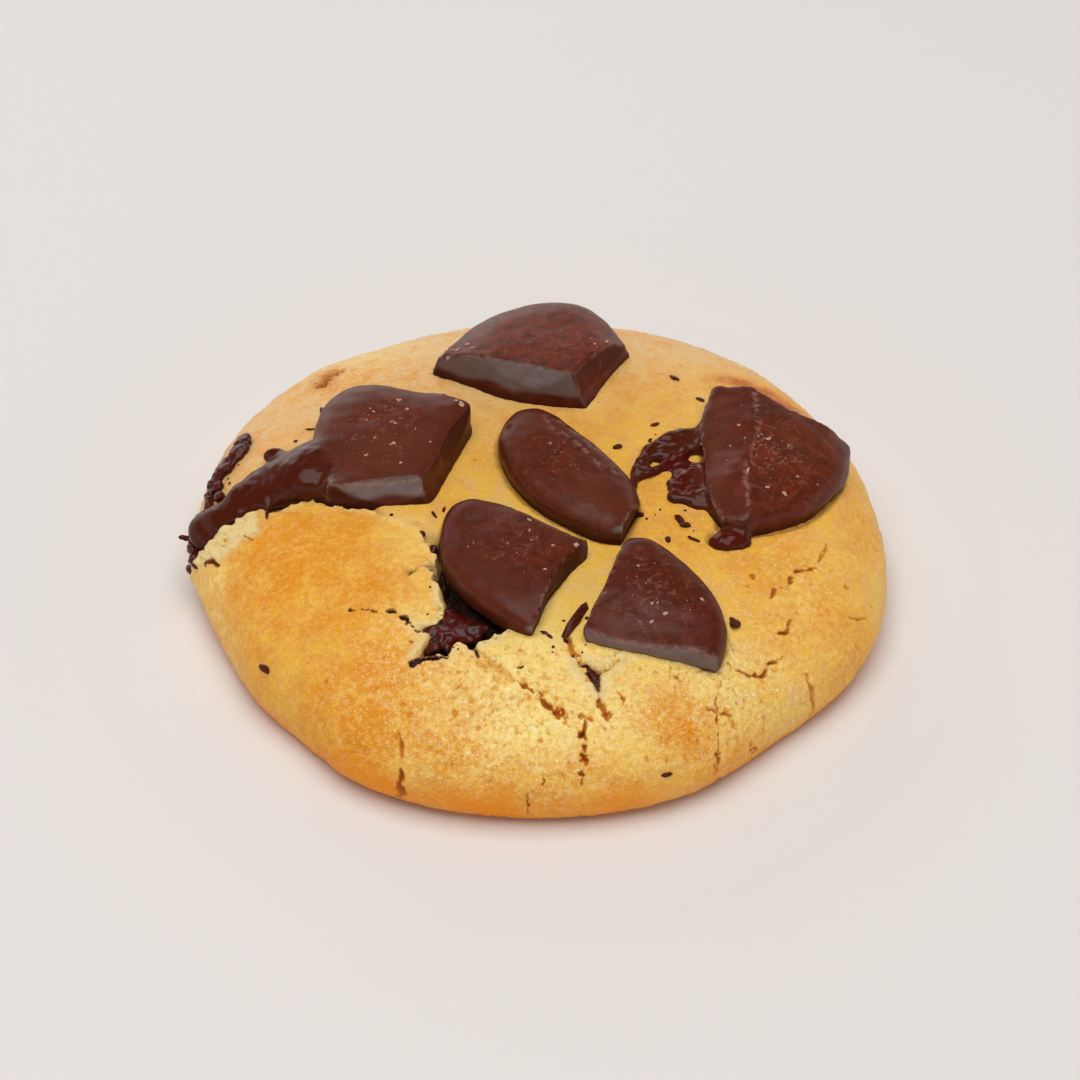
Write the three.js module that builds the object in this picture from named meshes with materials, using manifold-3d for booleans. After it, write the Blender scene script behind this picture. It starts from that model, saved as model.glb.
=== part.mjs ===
// A round drop cookie carrying six chopped pieces of dark chocolate.
//
// Millimetres, +Z up. The origin is the middle of the flat underside, +X is the
// cookie's right and +Y its back. The dough is one domed solid with a pocket for
// each piece of chocolate and an open split at the front left, which holds a pool
// of melted chocolate. Pieces that touch keep a small clearance.

import * as THREE from 'three';
import { mergeVertices } from 'three/addons/utils/BufferGeometryUtils.js';
import Module from 'manifold-3d';

const wasm = await Module();
wasm.setup();

// Dough
const RADIUS = 44.7;            // mean, at the widest level
const WIDEST_LEVEL = 4.4;       // height of the widest level
const DOME_RISE = 11.9;         // from the widest level to the top of the dome
const DOME_POWER = 4.4;         // a higher power gives a flatter top and a rounder shoulder
const FOOT_RADIUS = 40.6;       // flat underside
const SEGMENTS = 72;            // round the dough
const DOME_RINGS = 12;          // from the top to the widest level
const EDGE_RINGS = 3;           // from the widest level down to the underside

// The outline is a circle with a few shallow waves: their height, how many there are
// round the cookie, and the direction of one crest in degrees.
const OUTLINE_WAVES = [
  { height: 0.63, count: 2, crest: -24 },
  { height: 0.32, count: 3, crest: 30 },
  { height: 0.29, count: 4, crest: 55 },
];

// Where the outline is flatter: how far it falls in, its direction and its half-width in
// degrees.
const OUTLINE_DENTS = [
  { depth: 2.6, middle: -46, across: 15 },     // front right
  { depth: 1.0, middle: -88, across: 26 },     // front
  { depth: 1.6, middle: -135, across: 10 },    // front left
  { depth: 1.3, middle: -158, across: 15 },    // left
  { depth: 0.8, middle: 121, across: 12 },     // back left
];

// Broad swellings of the dome: middle, half-widths and height.
const SWELLS = [
  { x: -29, y: -11.6, across: 13, along: 10, rise: 1.1 },   // lifted crust at the front left
  { x: 37, y: 8.4, across: 7, along: 9, rise: 1.2 },        // dough pushed up by the right chunk
  { x: 0, y: 31.4, across: 11, along: 6, rise: 0.6 },       // and by the back chunk
  { x: -27, y: 27, across: 11, along: 11, rise: 0.8 },      // full shoulder at the back left
  { x: 24, y: 29, across: 11, along: 9, rise: 0.6 },        // and at the back right
];

// Chocolate
const GAP = 0.35;               // clearance between the dough and what sits in it
const RIM_POINTS = 17;          // along a moulded rim
const CUT_STEP = 3.5;           // between the points along a knife cut
const UNDERCUT = 0.6;           // how far a moulded rim curves in at its foot
const ROUNDING = 0.5;           // and at its top edge
const CROWN_RINGS = [0.9, 0.72, 0.5, 0.26];
const KNIFE_BLOCK = 60;         // side of the block that planes a chunk

// Each chunk is part of a round button, flat below and crowned above. Its rim is the
// moulded edge, as points that a smooth curve passes through. The cuts are the corners
// that straight knife cuts run between, from the end of the rim back to its start: a
// corner's last two numbers, if given, are where the cut's top edge stands. A planed
// chunk has lost what stood above the plane through three points, each with its
// height above the chunk's foot.
const CHUNKS = {
  chunk_back: {
    rim: [[-13.2, 23], [-10.6, 29.4], [-5.2, 34.8], [0.5, 36.9], [6, 36.4], [9.8, 32.6], [11.7, 27.7]],
    cuts: [[5.6, 17.6]],
    thickness: 6.4, rimThickness: 2.8, crownWidth: 8, sink: 1.3, tilt: 0.9,
  },
  chunk_left: {
    rim: [[-15.4, 17.2], [-20, 18.9], [-24.6, 18.8], [-27.9, 16], [-29.3, 11.4], [-29, 5.6], [-28.4, 0.2]],
    cuts: [[-26.8, -2.3], [-13.4, -2.4, -15.2, -2.3], [-8.7, 11.8]],
    thickness: 6.2, rimThickness: 3.2, crownWidth: 7, sink: 1.5, tilt: 0.6,
  },
  chunk_centre: {
    rim: [[13, -3.8], [12.3, 0.8], [9.2, 5.6], [4.8, 10.8], [0.6, 14.8], [-3.4, 14.4], [-5.8, 9.4],
      [-4.9, 3.4], [-1.6, -3], [3, -7.2], [7.6, -9.8]],
    cuts: [[10.6, -10.1]],
    thickness: 5, rimThickness: 3, crownWidth: 5.5, sink: 1.4, tilt: 1,
  },
  chunk_right: {
    rim: [[40.6, 9.4], [40.4, 6.4], [38.8, 2], [34.8, -4], [29.4, -7.4], [25, -8.2]],
    cuts: [[22.4, -7], [21.4, 2.4], [20.6, 10.5], [22.6, 17.9], [27.4, 17.1], [31, 15.4]],
    planed: [[27.4, 17.1, 5.5], [25.1, -6, 4.4], [21, 8, 3.2]],
    thickness: 5.7, rimThickness: 3.2, crownWidth: 8, sink: 1.6, tilt: 1,
  },
  chunk_front_left: {
    rim: [[-1.4, -24.3], [-5.4, -23.1], [-9.6, -19.8], [-12.3, -15.2], [-13, -10.2], [-12.1, -5.8],
      [-9.6, -3.6], [-5.4, -4.6]],
    cuts: [[5.8, -12.2]],
    thickness: 4.8, rimThickness: 2.8, crownWidth: 9, sink: 1.5, tilt: 0.7,
  },
  chunk_front_right: {
    rim: [[22.2, -29.6], [23.5, -26.4], [23.3, -22.4], [21.6, -18.2], [19, -14.5], [15.6, -12],
      [12.8, -11.4], [11, -12.2]],
    cuts: [[5.8, -26]],
    thickness: 4.9, rimThickness: 3, crownWidth: 10, sink: 1.5, tilt: 0.9,
  },
};

// Melted chocolate is made of overlapping rounded lobes that lie on the dough: middle,
// half-lengths along X, Y and Z, and how far the middle stands above the surface.
const TAIL_OF_LEFT_CHUNK = [
  { x: -29.5, y: 3.2, size: [4.4, 4.4, 2.2], lift: 0.3 },
  { x: -33.6, y: 3, size: [3.8, 4.3, 1.8], lift: 0.2 },
  { x: -37, y: 1.7, size: [3.4, 3.1, 1.6], lift: 0.1 },
  { x: -40.4, y: 0.1, size: [3, 2.6, 1.7], lift: 0 },
  { x: -43, y: 0.2, size: [2.3, 3.1, 2.7], lift: 0 },
];
const SMEAR_OF_RIGHT_CHUNK = [
  { x: 19.4, y: 9.6, size: [3.8, 2.6, 1.5], lift: 0.2 },
  { x: 15.8, y: 7.4, size: [2.9, 1.9, 1.2], lift: 0.2 },
  { x: 20.4, y: 2, size: [2.8, 3.6, 1.5], lift: 0.1 },
  { x: 23.6, y: -8.8, size: [2.7, 1.7, 1.5], lift: 0.2 },
];
const POOL = [
  { x: -11.6, y: -22.8, size: [3.4, 3.2, 1.5], lift: -1.6 },
  { x: -14.2, y: -23.8, size: [2.4, 1.9, 1.2], lift: -1.5 },
  { x: -9, y: -23.6, size: [2.4, 2.2, 1.3], lift: -1.5 },
];
const SPLIT_DEPTH = 5;          // how tall the cutter that opens the split over the pool is
const LOBE_SIDES = 12;
const LOBE_STACKS = 8;

const DOUGH = { color: 0xdfae58, roughness: 0.8, metalness: 0 };
const CHOCOLATE = { color: 0x54281c, roughness: 0.4, metalness: 0 };
const MELTED = { color: 0x3d1410, roughness: 0.25, metalness: 0 };

// Distance from the axis to the widest level, in the direction of an angle.
function outlineRadius(angle) {
  const waves = OUTLINE_WAVES.map(({ height, count, crest }) => (
    height * Math.cos(count * (angle - THREE.MathUtils.degToRad(crest)))
  ));
  const dents = OUTLINE_DENTS.map(({ depth, middle, across }) => {
    const off = angle - THREE.MathUtils.degToRad(middle);
    const away = Math.atan2(Math.sin(off), Math.cos(off)) / THREE.MathUtils.degToRad(across);
    return depth * Math.exp(-(away ** 2));
  });
  const sum = (values) => values.reduce((total, value) => total + value, 0);
  return RADIUS + sum(waves) - sum(dents);
}

// Height of the dough's top surface over a point.
function domeHeight(x, y) {
  const share = Math.min(1, Math.hypot(x, y) / outlineRadius(Math.atan2(y, x)));
  const fall = Math.sqrt(1 - share ** DOME_POWER);
  let rise = DOME_RISE;
  for (const swell of SWELLS) {
    const away = ((x - swell.x) / swell.across) ** 2 + ((y - swell.y) / swell.along) ** 2;
    rise += swell.rise * Math.exp(-away);
  }
  return WIDEST_LEVEL + rise * fall;
}

// A closed skin over rings of points, listed from the bottom up. The first and the
// last ring are closed with a fan to their middle.
function skin(rings) {
  const count = rings[0].length;
  const positions = [];
  const faces = [];
  const middle = (ring) => ring.reduce((sum, p) => sum.add(p), new THREE.Vector3()).divideScalar(count);
  for (const point of [middle(rings[0]), ...rings.flat(), middle(rings.at(-1))]) {
    positions.push(...point.toArray());
  }
  const at = (ring, i) => 1 + ring * count + (i % count);
  const last = rings.length - 1;
  const pole = 1 + rings.length * count;
  for (let i = 0; i < count; i += 1) {
    faces.push(0, at(0, i + 1), at(0, i));
    faces.push(pole, at(last, i), at(last, i + 1));
    for (let ring = 0; ring < last; ring += 1) {
      faces.push(at(ring, i), at(ring, i + 1), at(ring + 1, i + 1));
      faces.push(at(ring, i), at(ring + 1, i + 1), at(ring + 1, i));
    }
  }
  const geometry = new THREE.BufferGeometry();
  geometry.setAttribute('position', new THREE.Float32BufferAttribute(positions, 3));
  geometry.setIndex(faces);
  return geometry;
}

function doughGeometry() {
  const rings = [];
  const ring = (place) => Array.from({ length: SEGMENTS }, (_, i) => place((i / SEGMENTS) * 2 * Math.PI));
  for (let k = 0; k <= EDGE_RINGS; k += 1) {
    const turn = (k / (EDGE_RINGS + 1)) * Math.PI / 2;
    rings.push(ring((angle) => {
      const overhang = outlineRadius(angle) - FOOT_RADIUS;
      const r = FOOT_RADIUS + overhang * Math.sin(turn);
      const z = WIDEST_LEVEL * (1 - Math.cos(turn));
      return new THREE.Vector3(r * Math.cos(angle), r * Math.sin(angle), z);
    }));
  }
  for (let k = DOME_RINGS; k > 0; k -= 1) {
    const share = Math.sin((k / DOME_RINGS) * Math.PI / 2);
    rings.push(ring((angle) => {
      const r = share * outlineRadius(angle);
      const x = r * Math.cos(angle);
      const y = r * Math.sin(angle);
      return new THREE.Vector3(x, y, domeHeight(x, y));
    }));
  }
  return skin(rings);
}

function rimCurve({ rim }) {
  return new THREE.CatmullRomCurve3(rim.map(([x, y]) => new THREE.Vector3(x, y, 0)));
}

// A chunk's outline, counter-clockwise: for each point its foot, its top edge, and how
// fully it has the moulded rim's rounding, from 0 on a knife cut to 1.
function chunkOutline(spec) {
  const outline = rimCurve(spec).getSpacedPoints(RIM_POINTS).map((p, i) => ({
    foot: new THREE.Vector2(p.x, p.y),
    top: new THREE.Vector2(p.x, p.y),
    moulded: Math.min(1, i / 2, (RIM_POINTS - i) / 2),
  }));
  const corners = [
    outline.at(-1),
    ...spec.cuts.map(([x, y, topX = x, topY = y]) => ({
      foot: new THREE.Vector2(x, y),
      top: new THREE.Vector2(topX, topY),
    })),
    outline[0],
  ];
  for (let c = 1; c < corners.length; c += 1) {
    const [from, to] = [corners[c - 1], corners[c]];
    const steps = Math.max(1, Math.round(from.foot.distanceTo(to.foot) / CUT_STEP));
    const isLast = c === corners.length - 1;
    for (let k = 1; k <= (isLast ? steps - 1 : steps); k += 1) {
      outline.push({
        foot: from.foot.clone().lerp(to.foot, k / steps),
        top: from.top.clone().lerp(to.top, k / steps),
        moulded: 0,
      });
    }
  }
  const clockwise = THREE.ShapeUtils.isClockWise(outline.map((p) => p.foot));
  return clockwise ? outline.reverse() : outline;
}

// For each point of a closed outline, the step in plan that moves both of its edges
// outwards by one.
function outwards(points) {
  const normal = (from, to) => new THREE.Vector2(to.y - from.y, from.x - to.x).normalize();
  return points.map((point, i) => {
    const sum = normal(points.at(i - 1), point).add(normal(point, points[(i + 1) % points.length]));
    return sum.multiplyScalar(2 / sum.lengthSq());
  });
}

// How far a point in plan is from the moulded rim.
function distanceToRim(point, rimPoints) {
  const place = new THREE.Vector3(point.x, point.y, 0);
  const nearest = new THREE.Vector3();
  return Math.min(...rimPoints.slice(1).map((end, i) => {
    new THREE.Line3(rimPoints[i], end).closestPointToPoint(place, true, nearest);
    return nearest.distanceTo(place);
  }));
}

// Middle of a chunk in plan, and the level and slope of the dough under it.
function chunkSeat(spec) {
  const outline = chunkOutline(spec);
  const middle = outline.reduce((sum, p) => sum.add(p.foot), new THREE.Vector2()).divideScalar(outline.length);
  const reach = 5;              // over which the dough's slope is taken
  const slope = (dx, dy) => {
    const ahead = domeHeight(middle.x + dx, middle.y + dy);
    const behind = domeHeight(middle.x - dx, middle.y - dy);
    return spec.tilt * (ahead - behind) / (2 * reach);
  };
  return {
    place: new THREE.Vector3(middle.x, middle.y, domeHeight(middle.x, middle.y) - spec.sink),
    slopeX: slope(reach, 0),
    slopeY: slope(0, reach),
  };
}

// A chunk about its own middle, made larger all round by grow.
function chunkGeometry(spec, grow = 0) {
  const outline = chunkOutline(spec);
  const out = outwards(outline.map((p) => p.foot));
  const { place, slopeX, slopeY } = chunkSeat(spec);
  const middle = new THREE.Vector2(place.x, place.y);
  const rimPoints = rimCurve(spec).getSpacedPoints(RIM_POINTS);
  const crown = (point) => {
    const inward = Math.min(1, distanceToRim(point, rimPoints) / spec.crownWidth);
    const bulge = Math.sqrt(1 - (1 - inward) ** 2);
    return spec.rimThickness + (spec.thickness - spec.rimThickness) * bulge;
  };
  const local = (point, height) => {
    const x = point.x - middle.x;
    const y = point.y - middle.y;
    return new THREE.Vector3(x, y, height + slopeX * x + slopeY * y);
  };
  const wall = (from, inset, height) => outline.map((p, i) => {
    const point = p[from].clone().addScaledVector(out[i], grow - inset * p.moulded);
    return local(point, height(p[from]));
  });
  const between = outline.map((p, i) => {
    const point = p.foot.clone().lerp(p.top, 0.5).addScaledVector(out[i], grow);
    return local(point, crown(p.top) / 2);
  });
  const rings = [
    wall('foot', UNDERCUT, () => -grow),
    between,
    wall('top', ROUNDING, (point) => crown(point) + grow),
  ];
  for (const share of CROWN_RINGS) {
    rings.push(outline.map((p) => {
      const point = middle.clone().lerp(p.top, share);
      return local(point, crown(point) + grow);
    }));
  }
  return skin(rings);
}

function lobeGeometry({ x, y, size, lift }, grow = 0, upward = 0) {
  const geometry = new THREE.SphereGeometry(1, LOBE_SIDES, LOBE_STACKS);
  geometry.rotateX(Math.PI / 2);
  geometry.scale(size[0] + grow, size[1] + grow, size[2] + grow);
  const position = geometry.getAttribute('position');
  for (let i = 0; i < position.count; i += 1) {
    if (position.getZ(i) > 0) position.setZ(i, position.getZ(i) + upward);
  }
  return geometry.translate(x, y, domeHeight(x, y) + lift);
}

function toSolid(geometry) {
  const bare = geometry.clone();
  bare.deleteAttribute('normal');
  bare.deleteAttribute('uv');
  const merged = mergeVertices(bare, 1e-4);
  return new wasm.Manifold(new wasm.Mesh({
    numProp: 3,
    vertProperties: new Float32Array(merged.getAttribute('position').array),
    triVerts: new Uint32Array(merged.getIndex().array),
  }));
}

function fromSolid(solid) {
  const mesh = solid.getMesh();
  const geometry = new THREE.BufferGeometry();
  geometry.setAttribute('position', new THREE.BufferAttribute(mesh.vertProperties, 3));
  geometry.setIndex(new THREE.BufferAttribute(mesh.triVerts, 1));
  return geometry;
}

function join(solids) {
  return solids.reduce((sum, solid) => sum.add(solid));
}

function piece(name, geometry, finish, place = new THREE.Vector3()) {
  geometry.computeVertexNormals();
  const mesh = new THREE.Mesh(geometry, new THREE.MeshStandardMaterial(finish));
  mesh.name = name;
  mesh.position.copy(place);
  return mesh;
}

// A block that stands on the plane through a planed chunk's three points.
function knifeBlock({ planed }, { place, slopeX, slopeY }) {
  const [a, b, c] = planed.map(([x, y, height]) => {
    const lean = slopeX * (x - place.x) + slopeY * (y - place.y);
    return new THREE.Vector3(x, y, place.z + height + lean);
  });
  const normal = new THREE.Plane().setFromCoplanarPoints(a, b, c).normal;
  if (normal.z < 0) normal.negate();
  const block = new THREE.BoxGeometry(KNIFE_BLOCK, KNIFE_BLOCK, KNIFE_BLOCK);
  block.translate(0, 0, KNIFE_BLOCK / 2);
  block.applyQuaternion(new THREE.Quaternion().setFromUnitVectors(new THREE.Vector3(0, 0, 1), normal));
  return block.translate(a.x, a.y, a.z);
}

// A chunk and the melted lobes that belong to it, standing where they lie.
function chunkSolid(spec, lobes, grow = 0) {
  const seat = chunkSeat(spec);
  const { x, y, z } = seat.place;
  let button = toSolid(chunkGeometry(spec, grow).translate(x, y, z));
  if (spec.planed && !grow) button = button.subtract(toSolid(knifeBlock(spec, seat)));
  return join([button, ...lobes.map((lobe) => toSolid(lobeGeometry(lobe, grow)))]);
}

const LOBES = { chunk_left: TAIL_OF_LEFT_CHUNK, chunk_right: SMEAR_OF_RIGHT_CHUNK };

const cookie = new THREE.Group();
let dough = toSolid(doughGeometry());

for (const [name, spec] of Object.entries(CHUNKS)) {
  const lobes = LOBES[name] ?? [];
  const { place } = chunkSeat(spec);
  const chunk = fromSolid(chunkSolid(spec, lobes));
  chunk.translate(-place.x, -place.y, -place.z);
  cookie.add(piece(name, chunk, CHOCOLATE, place));
  dough = dough.subtract(chunkSolid(spec, lobes, GAP));
}

const pool = join(POOL.map((lobe) => toSolid(lobeGeometry(lobe))));
cookie.add(piece('melt_front', fromSolid(pool), MELTED));
dough = dough.subtract(join(POOL.map((lobe) => toSolid(lobeGeometry(lobe, GAP, SPLIT_DEPTH)))));

cookie.add(piece('dough', fromSolid(dough), DOUGH));

export default cookie;
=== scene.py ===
"""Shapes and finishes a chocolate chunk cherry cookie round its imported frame.

A round drop cookie: golden dough whose crust has torn at the front left and cracked
along the front, six chopped pieces of dark chocolate, some of it melted, and crumbs.
Tables and shape functions are in millimetres; Blender's meshes are in metres.
"""

import math
import random

import bmesh
import bpy
import numpy as np
from mathutils import Matrix, Vector, noise
from mathutils.bvhtree import BVHTree
from mathutils.kdtree import KDTree


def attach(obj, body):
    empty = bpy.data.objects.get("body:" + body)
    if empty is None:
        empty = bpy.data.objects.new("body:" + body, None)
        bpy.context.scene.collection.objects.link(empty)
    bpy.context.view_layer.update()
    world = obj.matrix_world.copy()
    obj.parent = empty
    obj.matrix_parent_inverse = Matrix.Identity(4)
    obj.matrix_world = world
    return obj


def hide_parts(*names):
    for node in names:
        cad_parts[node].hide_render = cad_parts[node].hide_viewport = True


bl_info = {
    "name": "Chocolate chunk cookie",
    "version": (1, 0, 0),
    "blender": (4, 5, 0),
    "location": "View3D > Sidebar > Cookie",
    "description": "Makes a drop cookie with a torn crust, chopped chocolate and crumbs",
    "category": "Add Mesh",
}

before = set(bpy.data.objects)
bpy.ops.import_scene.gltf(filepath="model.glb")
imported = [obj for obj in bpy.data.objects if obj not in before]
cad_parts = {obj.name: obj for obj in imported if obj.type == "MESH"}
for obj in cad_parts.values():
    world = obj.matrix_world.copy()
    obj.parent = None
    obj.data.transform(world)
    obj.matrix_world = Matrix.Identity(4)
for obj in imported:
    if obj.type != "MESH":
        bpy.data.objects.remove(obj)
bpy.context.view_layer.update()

MM = 0.001                      # metres in a millimetre
BODY = "root"
SEED_STEP = 37.1                # how far apart the noise of two seeds is taken
SHORE = 4.0                     # how far from a chunk the dough can be drawn up to it

# --- Form of the dough -----------------------------------------------------------

# Shallow waves of the outline: height, how many round the cookie, direction of a crest
OUTLINE_WAVES = ((0.63, 2, -24), (0.32, 3, 30), (0.29, 4, 55))

# Where the outline is flatter: how far it falls in, its direction and its half-width
OUTLINE_DENTS = (
    (2.6, -46, 15),
    (1.0, -88, 26),
    (1.6, -135, 10),
    (1.5, -157, 16),
    (0.8, 121, 12),
)

# Broad swellings of the dome: middle, half-widths, rise
SWELLS = (
    (-29, -11.6, 13, 10, 1.1),
    (37, 8.4, 7, 9, 1.2),
    (0, 31.4, 11, 6, 0.6),
    (-27, 27, 11, 11, 0.8),
    (24, 29, 11, 9, 0.6),
)

# The torn edge of the lifted crust at the front left, from the left rim to the hole:
# place, how far the dough behind it drops, and how far back the drop reaches
TORN_EDGE = (
    (-50.0, -3.8, 2.0, 4.0),
    (-44.6, -3.6, 2.0, 4.0),
    (-42.7, -3.0, 1.6, 6.0),
    (-40.3, -2.7, 1.4, 7.0),
    (-38.5, -2.4, 1.4, 7.0),
    (-38.0, -1.2, 1.4, 7.0),
    (-35.3, -1.1, 1.4, 7.0),
    (-34.6, -2.5, 1.4, 6.0),
    (-33.0, -2.2, 1.4, 5.0),
    (-30.9, -1.8, 1.4, 5.0),
    (-29.2, -0.5, 1.3, 4.0),
    (-28.2, -1.6, 1.3, 3.0),
    (-26.9, -3.0, 1.6, 1.6),
    (-24.9, -3.3, 1.6, 1.3),
    (-21.9, -3.7, 1.7, 1.3),
    (-21.0, -4.6, 1.5, 1.3),
    (-19.9, -5.2, 0.6, 1.2),
    (-17.5, -6.0, 0.3, 1.0),
    (-15.3, -7.3, 1.2, 1.2),
    (-14.2, -9.4, 2.0, 1.2),
    (-13.8, -10.9, 2.8, 1.4),
    (-12.9, -12.4, 2.2, 1.2),
    (-12.9, -13.4, 2.6, 1.4),
    (-14.2, -13.9, 3.2, 1.6),
    (-13.1, -15.3, 3.2, 1.6),
    (-13.4, -16.4, 3.2, 1.6),
    (-12.4, -17.7, 3.0, 1.6),
    (-11.2, -18.9, 2.4, 1.6),
    (-11.4, -20.2, 2.0, 1.6),
)

# Broken crumb where the torn edge meets the left rim
CRUMB_SHELF = (
    (-44.2, -3.6), (-41.0, -3.0), (-38.3, -1.6), (-35.4, -1.4), (-35.2, -5.4), (-37.6, -6.2),
    (-40.6, -7.2), (-42.2, -6.0),
)

# Holes over melted chocolate: how deep each is, and its outline
HOLES = (
    (2.4, (
        (-12.0, -20.4), (-11.7, -22.4), (-12.8, -23.7), (-15.4, -23.9), (-13.4, -24.9),
        (-14.4, -26.6), (-15.4, -28.4), (-12.2, -27.9), (-11.0, -28.4), (-10.4, -26.5),
        (-9.0, -26.6), (-7.6, -27.6), (-7.2, -26.4), (-5.4, -25.6), (-3.0, -23.4), (-4.6, -19.8),
        (-8.4, -15.8), (-11.4, -13.8), (-12.4, -17.4),
    )),
    (1.7, (
        (4.4, -29.2), (5.6, -29.0), (7.0, -29.9), (8.4, -30.2), (9.4, -29.0), (10.7, -28.4),
        (9.4, -30.1), (8.2, -31.0), (7.9, -32.4), (7.5, -34.4), (6.7, -33.2), (6.0, -31.8), (4.8, -30.6),
    )),
)

# Cracks of the crust: their points, width, depth, how broken up they are from 0 to 1,
# and how dark they look inside from 0, golden, to 1, black, the darkest being painted shade
CRACKS = (
    (((-15.4, -24.2), (-16.6, -22.5), (-17.9, -21.5), (-19.9, -21.0), (-21.3, -20.6),
      (-23.4, -20.2)), 0.9, 0.8, 0.75, 1.0),
    (((-11.2, -24.4), (-13.4, -24.5), (-15.4, -24.2)), 0.7, 1.2, 0.2, 1.0),
    (((-11.2, -28.2), (-13.2, -28.4), (-15.6, -29.0)), 1.2, 1.0, 0.1, 1.0),
    (((-10.2, -24.6), (-8.8, -26.2), (-7.4, -28.0)), 0.9, 1.6, 0.1, 1.0),
    (((-7.4, -28.0), (-6.2, -29.6), (-4.6, -31.0), (-3.0, -32.0)), 2.6, 1.6, 0.1, 0.04),
    (((-3.2, -31.6), (-1.6, -33.0), (0.3, -34.6), (1.6, -35.6), (2.4, -36.8), (3.8, -37.2)),
     1.0, 0.9, 0.5, 0.45),
    (((3.8, -37.2), (5.6, -36.6), (6.6, -37.0)), 0.9, 0.6, 0.5, 0.35),
    (((5.7, -37.0), (5.4, -39.0), (5.8, -40.8), (5.1, -42.6)), 0.9, 0.8, 0.5, 0.45),
    (((7.3, -33.6), (7.6, -35.0), (8.6, -36.2)), 0.8, 0.8, 0.3, 0.4),
    (((3.6, -25.4), (4.0, -26.6), (4.4, -27.8), (5.0, -29.0)), 1.6, 1.3, 0.1, 0.3),
    (((6.8, -32.2), (8.2, -32.6), (10.4, -33.8)), 0.8, 0.4, 0.7, 0.35),
    (((22.1, -31.5), (21.9, -32.6), (21.8, -33.8), (21.9, -34.9), (22.3, -36.0), (21.9, -37.2),
      (22.1, -38.4)), 0.5, 0.6, 0.55, 0.45),
    (((20.4, -33.9), (21.9, -33.7), (23.8, -33.3)), 0.5, 0.5, 0.3, 0.4),
    (((23.2, -27.6), (24.7, -28.1), (26.0, -28.0), (27.4, -27.7), (28.2, -26.3), (30.4, -25.0)),
     0.5, 0.7, 0.45, 0.45),
    (((23.3, -24.2), (24.0, -25.6), (23.9, -27.4)), 0.5, 0.5, 0.4, 0.3),
    (((33.4, -25.6), (34.0, -26.2), (34.6, -26.9)), 0.9, 0.5, 0.2, 0.25),
    (((31.4, -20.0), (30.8, -21.5), (29.7, -22.4)), 0.6, 0.7, 0.2, 0.45),
    (((28.7, -17.6), (29.8, -15.9), (31.2, -14.6), (32.4, -12.6), (35.0, -11.0)), 0.5, 0.7, 0.4, 0.45),
    (((35.4, -10.2), (36.0, -8.4), (36.4, -6.8)), 0.5, 0.5, 0.3, 0.3),
    (((26.3, -33.6), (28.1, -32.7), (29.4, -31.6), (30.9, -31.9)), 0.5, 0.6, 0.3, 0.45),
    (((-16.9, -37.4), (-16.4, -39.4)), 0.7, 0.6, 0.1, 0.35),
    (((-17.0, -40.0), (-16.5, -41.6), (-15.6, -43.0)), 1.1, 0.8, 0.3, 0.45),
    (((-42.0, -5.6), (-41.2, -6.6), (-40.4, -7.4)), 0.5, 0.8, 0.3, 0.8),
    (((-36.9, -5.4), (-36.2, -6.0)), 0.4, 0.5, 0.3, 0.5),
    (((38.9, -16.6), (41.4, -15.2)), 0.7, 0.5, 0.2, 0.3),
    (((13.0, -43.4), (9.0, -44.0)), 0.7, 0.4, 0.4, 0.4),
)

# Chance pits of the crust: middle of a patch, its half-widths, how many, and their sizes
PIT_PATCHES = (
    (-4, -35, 17, 8, 190, 0.2, 0.6),
    (-10, -30, 6, 4, 30, 0.2, 0.6),
    (22, -33, 13, 9, 110, 0.2, 0.55),
    (30, -14, 11, 12, 70, 0.15, 0.45),
    (2, 24, 34, 17, 120, 0.15, 0.4),
    (-22, -14, 18, 14, 20, 0.15, 0.3),
    (14, 0, 9, 10, 30, 0.15, 0.4),
)

# Single larger pits: place and half-width, depth
PITS = (
    (-28.3, 24.5, 1.5, 1.9),
    (-27.2, 26.1, 1.4, 1.7),
    (-29.2, 23.6, 0.9, 1.2),
    (-2.1, -30.4, 0.5, 0.9),
    (-15.7, -25.9, 0.4, 0.5),
    (10.3, -34.2, 0.6, 0.6),
    (8.3, -36.2, 0.7, 0.6),
    (2.6, -36.2, 0.8, 0.9),
    (5.4, -38.6, 0.7, 0.9),
    (5.6, -40.8, 0.6, 0.9),
    (5.2, -42.0, 0.5, 0.7),
    (0.6, -42.6, 0.35, 0.3),
    (-1.2, -43.4, 0.4, 0.3),
    (0.4, -34.0, 0.6, 0.7),
    (-26.0, -29.0, 0.35, 0.6),
    (17.0, -31.0, 0.8, 0.5),
    (26.8, -14.4, 0.5, 0.4),
    (38.8, -12.4, 0.5, 0.4),
)

# --- Bake of the dough -----------------------------------------------------------

# Soft patches, here and below: middle, half-widths, strength
TOASTED_PATCHES = (
    (-30, -11, 11, 9, 1.5),
    (-24, -17, 11, 9, 1.1),
    (-22, -31, 10, 9, 1.1),
    (-33, -20, 6, 8, 0.8),
    (-22, -36, 8, 6, 1.3),
    (-12, -40, 6, 4, 0.8),
    (2, -43, 16, 2.5, 0.7),
    (17.0, -36, 5, 3.5, 1.0),
    (26, -36, 4, 3, 0.5),
    (31, -22, 5, 5, 0.6),
    (37, -18, 6, 8, 0.7),
    (-22, 22, 12, 6, 0.5),
    (0, 10, 14, 8, 0.55),
    (14, 18, 8, 8, 0.5),
    (14, 0, 7, 7, 0.6),
    (18, -8, 8, 7, 0.6),
    (30, -12, 9, 9, 0.7),
    (8, 36, 18, 4, 0.35),
    (-35, 14, 6, 8, 0.4),
    (27, 23, 8, 4, 0.6),
    (-14, 4, 5, 10, 0.6),
    (41, -2, 5, 12, 0.6),
    (36, 22, 10, 8, 0.5),
)
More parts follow.
